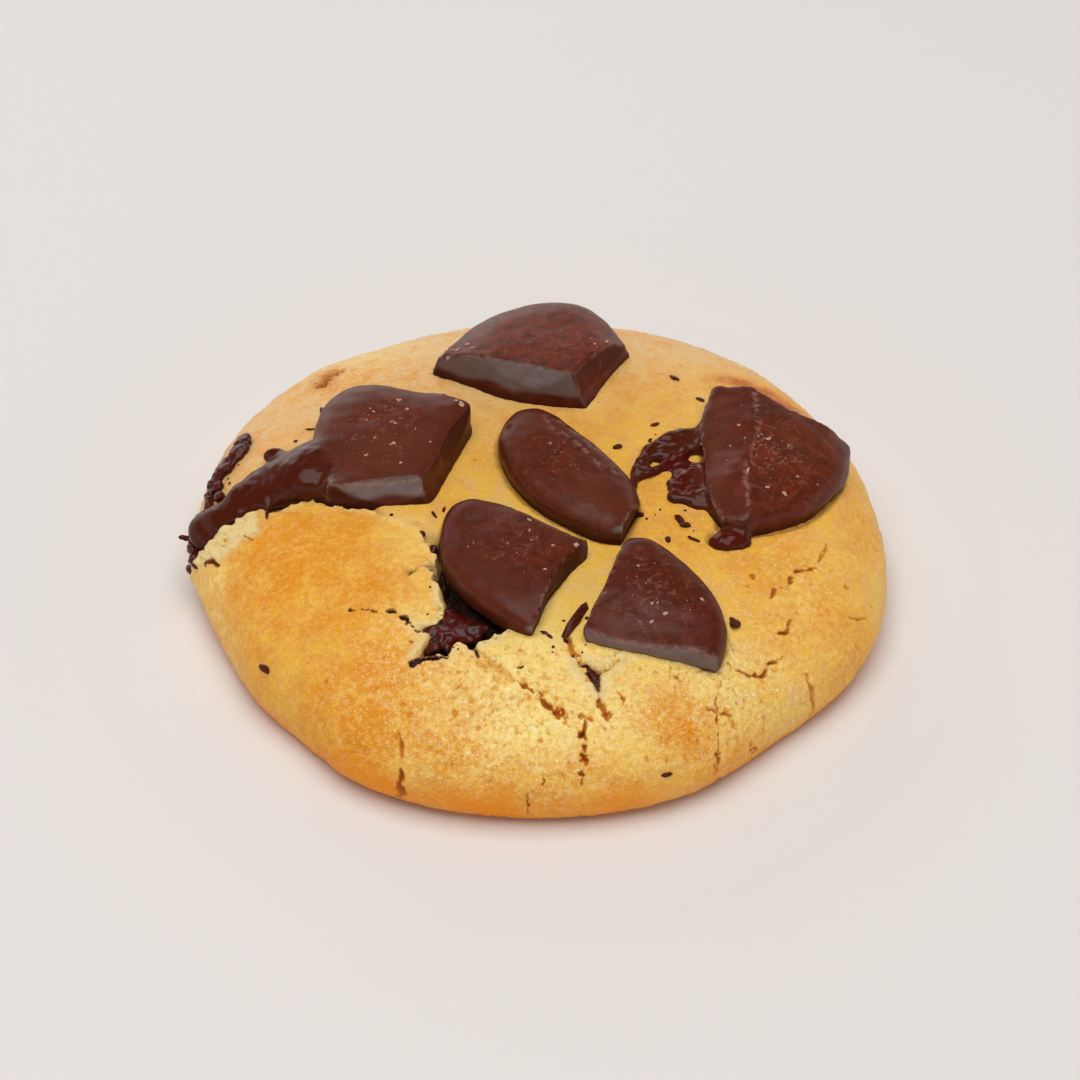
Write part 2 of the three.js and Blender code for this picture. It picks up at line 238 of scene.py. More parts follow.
PALE_PATCHES = (
    (-3, -30, 12, 9, 0.9),
    (-2, -38, 12, 6, 1.0),
    (10, -36, 12, 6, 0.7),
    (14, -30, 8, 6, 0.6),
    (22, -30, 5, 7, 0.9),
    (30, -26, 6, 6, 0.5),
    (34, -18, 7, 9, 0.4),
    (-15, -22, 4, 3, 0.9),
    (-16, -12, 4, 6, 0.6),
    (7, -28, 4, 2, 0.9),
    (-42, -12, 4, 10, 1.3),
    (44, -8, 3, 9, 0.5),
    (-25, 30, 9, 8, 0.4),
    (-14, -40, 3, 3, 0.6),
)
BURNT_PATCHES = (
    (26.4, 24.2, 2.6, 1.1, 1.3),
    (29.4, 22.9, 2.6, 1.4, 1.7),
    (32.4, 21.2, 2.6, 1.4, 1.7),
    (35.2, 19.2, 2.0, 1.1, 1.2),
    (28.4, 21.2, 3.4, 1.4, 0.9),
    (32.0, 19.4, 3.4, 1.4, 0.9),
    (-28.0, 25.0, 2.0, 2.6, 0.7),
)
# Where the crust is broken into grains, and where it is freckled
CRAZED_PATCHES = (
    (-4, -35, 19, 10, 1.0),
    (14, -32, 12, 11, 1.0),
    (25, -30, 12, 10, 0.9),
    (33, -14, 8, 12, 0.5),
    (-24, -28, 12, 12, 0.35),
)
FRECKLED_PATCHES = (
    (-14, -30, 10, 8, 0.5),
    (0, -36, 18, 9, 0.8),
    (24, -31, 13, 11, 0.6),
    (33, -12, 8, 12, 0.2),
)
# Where the rim is browned highest
BROWNED_RIM = (
    (-20, -38, 8, 8, 1.0),
    (-6, -43, 10, 6, 1.0),
    (10, -43, 10, 6, 0.8),
    (24, -38, 8, 6, 0.6),
    (42, -16, 6, 10, 0.3),
    (-42, -10, 6, 8, 0.25),
)
# Where the dough banks up against a chunk: middle, half-widths, rise
BANKS = (
    (15.0, -31.0, 9.0, 4.0, 0.3),
    (-18, -2.5, 8, 2, 0.3),
)
# Where chocolate has stained the dough
RUBBED_PATCHES = (
    (-42.4, 12.0, 1.3, 4.5, 0.55),
    (-41.0, 4.0, 1.2, 2.0, 0.5),
)

# --- Chocolate -------------------------------------------------------------------

CHUNKS = ("chunk_back", "chunk_left", "chunk_centre", "chunk_right", "chunk_front_left",
          "chunk_front_right")
SAME_DIRECTION = 0.999          # cosine between faces of one flat cut
ALONG_THE_FOOT = 0.99           # cosine between a chunk's foot and a top that lies along it
CUT_AREA = 16                   # smallest flat cut, in square millimetres
CUT_EDGE_TURN = math.radians(6)  # smallest angle at an edge that a knife left
EDGE_STEP = 0.3                 # between the points that stand for such an edge

# Melted lobes run together with a chunk: place, lift of the middle above the dome,
# half-lengths along, across and up, and turn in degrees
MELTED_LOBES = {
    "chunk_left": (
        (-28.8, 3.4, 1.7, 4.4, 4.9, 2.5, 0),
        (-31.8, 3.2, 1.0, 3.8, 4.7, 2.2, 0),
        (-35.0, 2.4, 0.7, 3.6, 3.9, 1.7, 10),
        (-38.0, 0.6, 0.3, 3.4, 2.8, 1.2, 25),
        (-40.6, -0.9, 0.0, 2.6, 1.7, 0.7, 40),
        (-42.2, -2.4, 0.2, 1.6, 0.7, 0.6, 30),
        (-34.0, 8.3, 0.9, 1.9, 1.2, 1.5, 0),
        (-36.4, 5.4, 0.7, 1.3, 0.9, 0.9, 30),
        (-38.5, 3.9, 0.4, 1.0, 0.7, 1.0, 60),
        (-34.3, -2.7, 0.7, 0.6, 1.7, 0.5, 0),
        (-27.9, 16.0, 0.6, 1.3, 0.6, 0.6, 120),
    ),
    "chunk_right": (
        (19.6, 10.6, 0.7, 2.6, 1.0, 1.1, 25),
        (16.8, 10.0, 0.5, 1.9, 0.9, 1.1, 25),
        (14.6, 8.2, 0.4, 1.9, 0.8, 1.0, 55),
        (13.6, 5.8, 0.3, 2.0, 1.2, 1.1, 60),
        (12.4, 3.4, 0.4, 1.7, 1.2, 1.0, 55),
        (11.8, 1.4, 0.3, 1.5, 1.0, 0.9, 70),
        (11.8, -0.6, 0.2, 1.4, 0.7, 0.8, 95),
        (20.8, 8.2, 0.9, 2.2, 0.65, 0.9, 25),
        (18.2, 6.3, 0.6, 2.2, 0.6, 0.8, 38),
        (15.8, 4.4, 0.4, 2.2, 0.8, 0.9, 38),
        (13.8, 3.0, 0.3, 1.5, 0.8, 0.9, 30),
        (19.4, 2.9, -0.1, 2.8, 3.6, 0.8, 10),
        (17.4, 0.8, 0.2, 1.3, 1.8, 1.0, 20),
        (17.2, -1.4, 0.3, 1.2, 1.2, 1.0, 20),
        (18.8, -1.8, 0.3, 1.7, 0.9, 1.0, -10),
        (20.4, -2.6, 0.3, 1.4, 0.8, 0.9, 0),
        (20.8, -1.2, 0.5, 1.6, 1.2, 1.2, 0),
        (22.0, -4.4, 0.4, 0.9, 1.6, 0.9, 0),
        (23.2, -9.4, 0.5, 2.0, 1.5, 1.3, 0),
        (25.2, -9.2, 0.3, 1.5, 1.0, 1.0, 0),
    ),
}

# Melted chocolate apart from the chunks, in the same terms
MELTED_SMEARS = (
    (-38.5, 14.2, 0.3, 1.7, 1.3, 0.8, 80),
    (-39.0, 12.4, 0.4, 2.2, 1.6, 0.8, 70),
    (-40.2, 10.8, 0.3, 2.0, 1.5, 0.8, 55),
    (-41.6, 9.6, 0.2, 1.8, 1.2, 0.8, 60),
    (-42.4, 8.4, 0.1, 1.4, 0.9, 0.7, 80),
    (-41.5, 7.0, 0.2, 0.9, 0.7, 0.6, 60),
    (-42.7, 5.2, 0.1, 2.8, 0.6, 0.7, 90),
    (-43.3, 1.8, 0.3, 1.9, 0.9, 1.1, 85),
    (-43.9, -0.8, 0.4, 1.7, 1.1, 1.2, 75),
    (-43.6, -3.2, 0.4, 1.6, 0.9, 1.1, 100),
    (-44.4, 1.2, 1.0, 0.5, 0.45, 1.6, 0),
    (-44.8, -2.6, 0.4, 1.5, 0.5, 0.5, 110),
    (-41.2, 4.4, 0.2, 0.9, 0.7, 0.6, 0),
    (6.2, -30.4, -1.1, 1.5, 1.1, 0.8, -35),
    (7.2, -32.0, -1.1, 1.6, 0.8, 0.8, -70),
    (8.8, -29.9, -1.2, 1.4, 0.6, 0.7, 40),
    (-14.9, -7.9, -0.1, 0.9, 0.4, 0.4, -30),
    (-13.4, -10.2, -0.6, 0.6, 0.9, 0.5, 0),
)

# Ridges of the melted filling in the hole, in the same terms
FILLING_LOBES = (
    (-10.8, -21.6, -1.4, 1.8, 0.5, 0.9, 110),
    (-9.4, -23.8, -1.3, 2.2, 0.5, 0.9, -20),
    (-12.6, -25.4, -1.3, 1.9, 0.6, 0.9, 40),
    (-11.2, -26.4, -1.3, 1.3, 0.5, 0.8, 100),
    (-7.4, -23.6, -1.0, 1.6, 0.5, 0.8, 15),
    (-13.2, -26.8, -0.9, 1.3, 0.6, 0.7, 20),
)

# Where a chunk has chipped or sagged: a place in plan and its height above the dome, the
# direction that the hollow faces and its tilt in degrees, its radius and its depth
CHIPS = {
    "chunk_back": (
        (8.8, 21.2, 2.2, -38, 20, 30.0, 0.4),
        (-4.0, 18.8, 4.4, -106, 22, 40.0, 0.5),
    ),
    "chunk_left": (
        (-11.4, 4.4, 2.0, -18, 16, 30.0, 0.3),
        (-18.2, -2.2, 2.8, -92, 26, 16.0, 0.5),
    ),
    "chunk_centre": (
        (9.0, -10.6, 2.4, -100, 30, 9.0, 0.9),
        (-3.8, 9.2, 3.0, 120, 60, 0.7, 0.4),
    ),
    "chunk_right": (
        (28.6, -9.0, 2.8, -80, 45, 5.0, 0.4),
    ),
    "chunk_front_left": (
        (3.4, -16.4, 2.4, -28, 14, 16.0, 0.5),
        (-2.0, -26.0, 2.0, -96, 20, 20.0, 0.6),
    ),
    "chunk_front_right": (
        (10.2, -22.0, 3.4, 160, 72, 16.0, 0.25),
    ),
}

# Where a chunk is pushed out of its plain form: a place in plan, a half-width, and the shift
# to the right, back and up
WARPS = {
    "chunk_back": (
        (-1, 18.5, 8, 0, -1.9, 0),
        (6, 19, 3, 0.5, -0.4, 0),
        (-13, 23.5, 3, -0.7, 0.8, 0),
    ),
    "chunk_left": (
        (-20, -1, 6, 0, -0.6, -1.0),
    ),
    "chunk_centre": (),
    "chunk_right": (
        (34, 16.5, 5, 0, -1.6, -0.3),
        (28.5, 0, 5, -2.4, 0, 0),
        (24.4, -7.4, 2.6, 1.4, 0, 0),
    ),
    "chunk_front_left": (
        (-8, -5, 5, -0.2, 1.2, 0),
        (6, -12.5, 3.5, 0.7, 0, 0),
        (-2, -25, 5, 0.7, -1.8, -0.2),
    ),
    "chunk_front_right": (
        (8, -27, 6, -0.6, -0.9, -1.4),
        (15, -28, 5, 0, -0.7, -0.9),
        (12, -12, 5, -0.1, 1.5, 0.3),
    ),
}
# How far each chunk's foot has spread, or less than 0 where it is drawn in, and how far up
# its cut faces stay dark, partly from smeared chocolate and partly as painted shade
FEET = {
    "chunk_back": (0.5, 1.4),
    "chunk_left": (0.2, 1.1),
    "chunk_centre": (-0.4, 0.3),
    "chunk_right": (-0.4, 0.3),
    "chunk_front_left": (-0.3, 0.1),
    "chunk_front_right": (-0.3, 0.1),
}

# Where they stay dark higher up, partly smeared and partly painted shade: middle, half-widths,
# how much further up
SMEAR_AND_SHADE_PATCHES = (
    (-27.0, -1.6, 2.4, 3.0, 2.6),
    (-12.2, -2.4, 1.2, 2.0, 1.0),
)

# Where the chocolate has melted: middle, half-widths, strength
MELTED_PATCHES = (
    (-38, 2.5, 9, 7, 1.4),
    (-31, 3, 4, 5, 1.0),
    (-29.4, 0.4, 3.6, 3.6, 1.1),
    (16.5, 6, 4.6, 6, 1.3),
    (19.6, -1.6, 2.6, 2.4, 1.2),
    (23.4, -9.6, 3.2, 1.8, 1.3),
)
# Where it has stayed lumpy, and where juice has stained it red
LUMPY_PATCHES = (
    (17, 6, 5, 6, 1.2),
    (19, -1, 4, 4, 1.2),
    (24.0, -9.6, 2.8, 1.6, 1.2),
)
CHERRY_PATCHES = (
    (18.6, 2.6, 3.2, 3.4, 1.5),
    (23.6, -9.8, 2.2, 1.3, 1.1),
    (-34.0, 8.9, 2.2, 1.2, 1.0),
)

# Where a chunk is rough: middle, half-widths, strength
ROUGH_PATCHES = (
    (32, 3, 8, 10, 1.0),
    (-20, 6, 7, 7, 0.4),
    (15, -21, 7, 6, 0.3),
)

# Where a chunk is browner, partly from its bloom and partly as painted sheen, and where it is redder
BLOOM_AND_SHEEN_PATCHES = (
    (-8, -19, 5, 5, 0.4),
    (6, -6, 5, 5, 0.8),
    (-3, 10, 5, 4, 0.5),
    (-20, 4, 7, 6, 0.7),
    (22.6, 4, 3, 9, 1.0),
    (34, 8, 4, 6, 0.5),
    (-24, 12, 5, 4, 0.6),
    (2, 30, 12, 3, 0.7),
)
RUDDY_PATCHES = (
    (2, 25, 12, 6, 1.2),
    (0, -12, 5, 5, 0.4),
    (2, 2, 5, 6, 0.3),
    (-19, 10, 6, 4, 0.4),
    (31, 3, 7, 10, 0.7),
)

# Clusters of fine pale scuffing on the chunks: middle, half-widths, strength
SCUFFED_PATCHES = (
    (-21, 8, 6, 7, 0.8),
    (2, 25, 10, 5, 0.5),
    (30, 5, 7, 8, 1.0),
    (15, -20, 6, 6, 0.8),
    (-3, -13, 6, 6, 0.5),
    (3, 4, 6, 8, 0.4),
)

# --- Loose bits: patches have a middle, half-widths, a count and sizes -----------

# Shards of chocolate on the dough: place, length, width, turn in degrees
SHARDS = (
    (24.2, -22.1, 1.9, 1.4, 110),
    (17.9, -5.0, 1.8, 1.0, -60),
    (18.6, -6.2, 1.4, 0.9, -10),
    (16.3, -8.7, 1.2, 0.7, 100),
    (19.5, -8.8, 2.0, 0.5, -35),
    (12.9, -4.3, 1.4, 0.9, -20),
    (10.2, 8.6, 1.5, 0.8, 35),
    (15.2, 13.2, 1.5, 0.6, 35),
    (18.0, 23.0, 1.7, 0.8, -45),
    (21.2, 18.6, 1.3, 0.6, -30),
    (15.6, -40.4, 1.6, 0.6, 15),
    (4.6, -23.2, 6.0, 1.5, 61),
    (3.3, -26.0, 1.4, 0.8, 75),
    (-33.9, -24.1, 2.0, 0.9, -40),
    (-31.6, 11.4, 0.6, 0.5, 0),
    (-29.8, 13.6, 1.8, 0.4, -10),
    (-28.4, 17.2, 1.6, 0.7, 100),
    (0.7, -25.0, 1.0, 0.5, -30),
    (1.4, -25.6, 0.9, 0.5, -50),
    (-13.2, -4.6, 1.2, 0.4, -60),
    (-12.0, -3.6, 0.9, 0.4, 80),
    (-18.6, -4.6, 0.5, 0.4, 0),
    (-2.0, -30.4, 0.8, 0.6, 0),
)
SHARD_PATCHES = (
    (14, -6, 6, 5, 9, 0.25, 0.5),
    (14, 8, 4, 4, 8, 0.25, 0.5),
    (-41, 8, 1.6, 6, 9, 0.3, 0.6),
    (-11, -23, 3, 3, 14, 0.3, 0.9),
    (-12, -27, 3, 1.4, 9, 0.3, 0.8),
    (5, -27, 4, 4, 7, 0.25, 0.5),
)
DOUGH_CRUMB_PATCHES = (
    (-39, -4, 3, 1.6, 3, 0.4, 1.2),
    (-25, -3.6, 12, 0.8, 8, 0.3, 0.9),
    (-13, -22, 3, 3.4, 9, 0.3, 1.1),
    (-5, -29, 5, 3, 6, 0.3, 1.0),
    (3, -35, 7, 4, 6, 0.3, 1.0),
    (6, -30, 3.4, 3.4, 7, 0.4, 1.3),
    (24, -29, 6, 4, 5, 0.3, 0.9),
    (31, -14, 5, 6, 3, 0.3, 0.7),
)
# Pale flakes scraped up on the chunks, in the same terms as the shards
FLAKES = (
    (-18.0, 13.0, 0.6, 0.5, 20),
    (-17.0, 11.0, 0.4, 0.4, 60),
    (-18.5, 4.6, 0.5, 0.4, 0),
    (-17.5, 1.2, 0.4, 0.3, 30),
    (-22.0, 2.8, 0.6, 0.3, 10),
    (-18.4, 8.3, 0.4, 0.3, -20),
    (-9.9, 11.6, 1.0, 0.5, -60),
    (-10.6, 12.4, 0.5, 0.4, 20),
    (-10.6, 23.6, 0.8, 0.5, 0),
    (-9.4, 24.4, 0.6, 0.4, 30),
    (-8.6, 23.2, 0.7, 0.3, -10),
    (9.0, 24.4, 0.7, 0.4, 60),
    (7.4, 23.4, 0.4, 0.3, 0),
    (-1.1, -8.6, 0.6, 0.3, -30),
    (-1.1, -10.6, 0.5, 0.3, 70),
    (1.8, -13.4, 0.4, 0.3, 0),
    (4.7, -13.1, 0.8, 0.5, 40),
    (0.8, -17.6, 0.4, 0.3, -20),
    (15.6, -24.0, 0.5, 0.4, 30),
    (13.9, -25.2, 0.5, 0.3, 50),
    (20.2, -21.4, 0.6, 0.3, -40),
    (14.0, -22.6, 0.4, 0.3, 80),
    (29.5, 6.4, 0.6, 0.5, 40),
    (31.2, -2.6, 0.6, 0.5, -50),
    (33.0, 0.6, 0.4, 0.3, 0),
    (29.0, -2.0, 0.5, 0.4, 0),
    (26.6, 0.4, 0.8, 0.3, 85),
)
# Pale dust and crumbs that lie on the chunks
DUST_PATCHES = (
    (-20, 8, 6, 6, 16, 0.12, 0.36),
    (-12.6, 24.2, 2, 1.6, 16, 0.2, 0.6),
    (6, 24, 6, 4, 14, 0.12, 0.3),
    (29, 6, 5, 7, 24, 0.12, 0.4),
    (15, -20, 5, 6, 18, 0.12, 0.4),
    (-3, -13, 6, 6, 12, 0.12, 0.3),
    (3, 3, 5, 7, 10, 0.12, 0.3),
)

# --- Stage -----------------------------------------------------------------------

FLOOR_SIDE = 6000               # so wide that its edge is never seen

# Square lamps that face the cookie: name, place, side, power in watts
LAMPS = (
    ("key", (-20, -100, 880), 800, 7.2),
    ("window", (-350, 850, 240), 600, 1.4),
)
CAMERA_PLACE = (0.5, -362.6, 346)
CAMERA_TARGET = (0.2, 0.0, 8.0)
CAMERA_LENS = 128               # focal length
SENSOR_WIDTH = 36
NEAREST_VIEW = 10               # anything nearer to the camera is left out

# --- Small helpers ---------------------------------------------------------------


def linear(colour):
    """Linear RGBA of an sRGB hex colour."""
    parts = [int(colour[i:i + 2], 16) / 255 for i in (1, 3, 5)]
    return [c / 12.92 if c <= 0.04045 else ((c + 0.055) / 1.055) ** 2.4 for c in parts] + [1.0]


def waves(points, size, seed):
    """Smooth noise over points, about -1 to 1, with bumps as wide as size."""
    flat = points.reshape(-1, 3) / size + seed * SEED_STEP
    return np.array([noise.noise(p) for p in flat.tolist()]).reshape(points.shape[:-1])


def pebbles(points, size, seed):
    """Rounded cells over points: 1 in the middle of each, falling to 0 between them."""
    flat = points.reshape(-1, 3) / size + seed * SEED_STEP
    away = np.array([noise.voronoi(p)[0][0] for p in flat.tolist()]).reshape(points.shape[:-1])
    return np.clip(1 - away * 1.4, 0, 1)


def smooth_step(start, end, values):
    """0 up to start, 1 from end on, and a smooth change between, in either direction."""
    share = np.clip((values - start) / (end - start), 0, 1)
    return share * share * (3 - 2 * share)


def cover(x, y, patches):
    """How strongly soft round patches cover each point in plan."""
    total = np.zeros_like(x)
    for px, py, across, along, strength in patches:
        away = ((x - px) / across) ** 2 + ((y - py) / along) ** 2
        total = np.maximum(total, strength * np.exp(-away))
    return total


def near_line(x, y, line):
    """Distance in plan to a line, how many of its points along the nearest place is, and the
    side: 1 on the line's left and -1 on its right."""
    nearest = np.full(x.shape, np.inf)
    index = np.zeros_like(x)
    side = np.ones_like(x)
    for i, (start, end) in enumerate(zip(line, line[1:])):
        dx, dy = end[0] - start[0], end[1] - start[1]
        share = np.clip(((x - start[0]) * dx + (y - start[1]) * dy) / (dx * dx + dy * dy), 0, 1)
        away = np.hypot(x - start[0] - share * dx, y - start[1] - share * dy)
        closer = away < nearest
        nearest = np.where(closer, away, nearest)
        index = np.where(closer, i + share, index)
        left = dx * (y - start[1]) - dy * (x - start[0]) > 0
        side = np.where(closer, np.where(left, 1.0, -1.0), side)
    return nearest, index, side


def depth_inside(x, y, outline):
    """Distance in plan to a closed outline, positive inside it."""
    closed = (*outline, outline[0])
    away, _, _ = near_line(x, y, closed)
    inside = np.zeros(x.shape, bool)
    for (x0, y0), (x1, y1) in zip(closed, closed[1:]):
        crosses = (y0 > y) != (y1 > y)
        if y1 != y0:
            inside ^= crosses & (x < x0 + (y - y0) * (x1 - x0) / (y1 - y0))
    return np.where(inside, away, -away)


def read_points(mesh):
    """A mesh's vertices in millimetres."""
    points = np.empty(len(mesh.vertices) * 3, np.float32)
    mesh.vertices.foreach_get("co", points)
    return points.reshape(-1, 3).astype(float) / MM


def write_points(mesh, points):
    """Moves a mesh's vertices to points in millimetres."""
    mesh.vertices.foreach_set("co", (points * MM).astype(np.float32).ravel())
    mesh.update()


def write_mask(mesh, name, values):
    """Stores one number per vertex for the material to read."""
    mask = mesh.attributes.new(name, "FLOAT", "POINT")
    mask.data.foreach_set("value", np.asarray(values, np.float32).ravel())


def make_mesh(name, points, faces):
    """A smooth-shaded mesh from points in millimetres."""
    mesh = bpy.data.meshes.new(name)
    mesh.from_pydata((np.asarray(points) * MM).tolist(), [], faces)
    mesh.shade_smooth()
    mesh.update()
    return mesh


def add_object(name, data):
    """Puts a mesh, lamp or camera in the scene."""
    thing = bpy.data.objects.new(name, data)
    bpy.context.scene.collection.objects.link(thing)
    return thing


def add_piece(name, mesh, material, slot, *nodes):
    """Puts a mesh in the scene as a piece of the cookie, in place of its CAD nodes if any."""
    piece = add_object(name, mesh)
    mesh.materials.clear()
    mesh.materials.append(material)
    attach(piece, BODY)
    if nodes:
        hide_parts(*nodes)


def triangles_in(mesh):
    """How many triangles a mesh's faces make."""
    return sum(len(face.vertices) - 2 for face in mesh.polygons)


def with_modifier(mesh, kind, **settings):
    """A mesh as a modifier leaves it; the first mesh is deleted."""
    holder = add_object("holder", mesh)
    modifier = holder.modifiers.new(kind.title(), kind)
    for name, value in settings.items():
        setattr(modifier, name, value)
    depsgraph = bpy.context.evaluated_depsgraph_get()
    made = bpy.data.meshes.new_from_object(holder.evaluated_get(depsgraph))
    bpy.data.objects.remove(holder)
    bpy.data.meshes.remove(mesh)
    return made


def edges_of(mesh):
    """The two vertices at the ends of each edge."""
    ends = np.empty(len(mesh.edges) * 2, np.int32)
    mesh.edges.foreach_get("vertices", ends)
    return ends.reshape(-1, 2)


def relax(points, edges, strength, rounds):
    """Draws each point, or other row of values, towards its neighbours, by its own strength
    from 0 to 1."""
    count = len(points)
    ends = np.concatenate([edges[:, 0], edges[:, 1]])
    others = np.concatenate([edges[:, 1], edges[:, 0]])
    neighbours = np.maximum(np.bincount(ends, minlength=count), 1)
    for _ in range(rounds):
        means = np.stack([
            np.bincount(ends, weights=column[others], minlength=count) / neighbours
            for column in points.T
        ], axis=-1)
        points = points + (means - points) * 0.5 * strength[:, None]
    return points


def normals_of(mesh):
    """The normal at each vertex."""
    values = np.empty(len(mesh.vertices) * 3, np.float32)
    mesh.vertex_normals.foreach_get("vector", values)
    return values.reshape(-1, 3).astype(float)


def tree_of(*meshes):
    """A search tree over meshes, in metres."""
    points = []
    faces = []
    for mesh in meshes:
        first = len(points)
        points += [v.co.copy() for v in mesh.vertices]
        faces += [[first + i for i in face.vertices] for face in mesh.polygons]
    return BVHTree.FromPolygons(points, faces)


def drop_onto(tree, x, y):
    """Where something let fall over a point lands, in millimetres, and the normal there.
    Both are None if nothing lies under the point."""
    place, normal, _, _ = tree.ray_cast(Vector((x * MM, y * MM, 0.1)), Vector((0, 0, -1)))
    return (place / MM, normal) if place else (None, None)


def add_node(tree, kind, inputs=(), **settings):
    """Adds a shader node with its settings, and sets or links its inputs."""
    node = tree.nodes.new(kind)
    for name, value in settings.items():
        setattr(node, name, value)
    for key, value in dict(inputs).items():
        if isinstance(value, bpy.types.NodeSocket):
            tree.links.new(value, node.inputs[key])
        else:
            node.inputs[key].default_value = value
    return node


def make_material(finish, colours):
    """A material named for its finish, a function that gives the shader's inputs from the
    node tree, coordinates in millimetres and the colours."""
    material = bpy.data.materials.new(finish.__name__)
    material.use_nodes = True
    tree = material.node_tree
    tree.nodes.clear()
    metres = add_node(tree, "ShaderNodeTexCoord").outputs["Object"]
    place = add_node(tree, "ShaderNodeVectorMath", {0: metres, 1: (1 / MM,) * 3}, operation="MULTIPLY")
    shader = add_node(tree, "ShaderNodeBsdfPrincipled", finish(tree, place.outputs[0], colours))
    add_node(tree, "ShaderNodeOutputMaterial", {"Surface": shader.outputs[0]})
    return material


def lay_colours(tree, base, layers):
    """Lays colours over a base one. A layer is its colour, the mask that holds it to its
    place or None, the pattern that breaks it up or None, the pattern's values where it is
    weakest and strongest, and how strong it is at those: the second if it has no pattern."""
    first, second = 6, 7        # a mix node's two colour inputs
    for colour, mask, pattern, spread, strength in layers:
        amount = strength[1]
        if pattern:
            amount = add_node(tree, "ShaderNodeMapRange", {
                "Value": pattern, "From Min": spread[0], "From Max": spread[1],
                "To Min": strength[0], "To Max": strength[1],
            }).outputs[0]
        if mask:
            held = add_node(tree, "ShaderNodeAttribute", attribute_name=mask).outputs["Fac"]
            amount = add_node(
                tree, "ShaderNodeMath", {0: held, 1: amount}, operation="MULTIPLY", use_clamp=True,
            ).outputs[0]
        inputs = {0: amount, first: base, second: tuple(colour)}
        mix = add_node(tree, "ShaderNodeMix", inputs, data_type="RGBA")
        base = mix.outputs[2]
    return base


def noise_patterns(tree, place, *kinds):
    """Noise patterns. Each kind is how wide a bump is in millimetres, its detail and how far
    it is distorted."""
    return [
        add_node(tree, "ShaderNodeTexNoise", {
            "Vector": place, "Scale": 1 / wide, "Detail": detail, "Roughness": 0.6,
            "Distortion": distortion,
        }).outputs[0]
        for wide, detail, distortion in kinds
    ]


# --- Materials -------------------------------------------------------------------


def baked_cookie_dough(tree, place, colours):
    """Egg-rich cookie dough, baked: a dull golden crust that browns in blotches, with open,
    paler crumb where it tore. Flour and fat make it matt with a faint grease shine."""
    # Grains of flour are too fine to show, so they are drawn 0.28 mm wide
    blotch, patch, mottle, grain = noise_patterns(
        tree, place, (5.0, 3.0, 0.0), (2.4, 3.0, 0.3), (0.7, 3.0, 0.0), (0.28, 1.0, 0.0))
    crust = lay_colours(tree, tuple(colours.crust), (
        # The back is paler: partly the crust's tan, partly painted sheen of the light from behind
        (colours.back_crust_and_sheen, "back_tan_and_sheen", None, None, (0, 1)),
        (colours.back_crust_and_sheen, None, patch, (0.45, 0.65), (0.1, 0.55)),
        (colours.pale_crust, None, mottle, (0.5, 0.68), (0, 0.35)),
        (colours.pale_crust, "pale", blotch, (0.3, 0.55), (0.55, 1.0)),
        (colours.toasted, "back_tan_and_sheen", patch, (0.5, 0.66), (0, 0.55)),
        (colours.toasted, "toast", blotch, (0.38, 0.6), (0.25, 0.9)),
        (colours.toasted, "toast", patch, (0.42, 0.62), (0.0, 0.8)),
        (colours.toasted_freckle, "toast", mottle, (0.48, 0.62), (0.0, 0.6)),
        (colours.burnt, "burnt", patch, (0.35, 0.6), (0.7, 1.3)),
        (colours.toasted_freckle, "freckled", mottle, (0.5, 0.66), (0, 0.6)),
        # Pale freckles: partly the crust's mottling, partly painted glints
        (colours.pale_freckle_and_glint, "freckled", mottle, (0.46, 0.34), (0, 0.4)),
        (colours.pale_freckle_and_glint, "freckled", grain, (0.58, 0.7), (0, 0.8)),
        (colours.rim, "rim", blotch, (0.3, 0.6), (0.7, 1.1)),
        (colours.crumb, "crumb", mottle, (0.3, 0.6), (1.0, 0.75)),
        (colours.cavity, "cavity", grain, (0.3, 0.6), (0.6, 1.0)),
        (colours.crack, "crack", grain, (0.4, 0.6), (1.0, 0.7)),
        # Painted shade deep in cracks, pits, holes and the gap behind the torn edge
        (colours.deep_crack_shade, "deep_shade", None, None, (0, 1.0)),
        # Chocolate stain, with painted contact shade where the chunks meet the dough
        (colours.stain_and_contact_shade, "stain_and_contact_shade", None, None, (0, 1.0)),
    ))
    # Crumbs of the broken crust are 0.62 mm across
    crumbs = add_node(tree, "ShaderNodeTexVoronoi", {"Vector": place, "Scale": 1 / 0.62, "Detail": 1.0})
    crazed = add_node(tree, "ShaderNodeAttribute", attribute_name="crazed").outputs["Fac"]
    fine = add_node(tree, "ShaderNodeBump", {"Strength": 0.6, "Distance": 0.25 * MM, "Height": grain})
    open_crumb = add_node(tree, "ShaderNodeBump", {
        "Strength": crazed, "Distance": 0.12 * MM, "Height": crumbs.outputs["Distance"],
        "Normal": fine.outputs[0],
    }, invert=True)
    bump = add_node(tree, "ShaderNodeBump", {
        "Strength": 0.4, "Distance": 0.3 * MM, "Height": mottle, "Normal": open_crumb.outputs[0],
    })
    rough = add_node(tree, "ShaderNodeMapRange", {
        "Value": mottle, "From Min": 0.35, "From Max": 0.6, "To Min": 0.3, "To Max": 0.6,
    })
    return {
        "Base Color": crust,
        "Roughness": rough.outputs[0],
        "IOR": 1.45,
        "Specular IOR Level": 0.22,
        "Coat Weight": 0.06,
        "Coat Roughness": 0.25,
        "Subsurface Weight": 0.08,
        "Subsurface Radius": (1.0, 0.7, 0.3),
        "Subsurface Scale": 1.5 * MM,
        "Normal": bump.outputs[0],
    }


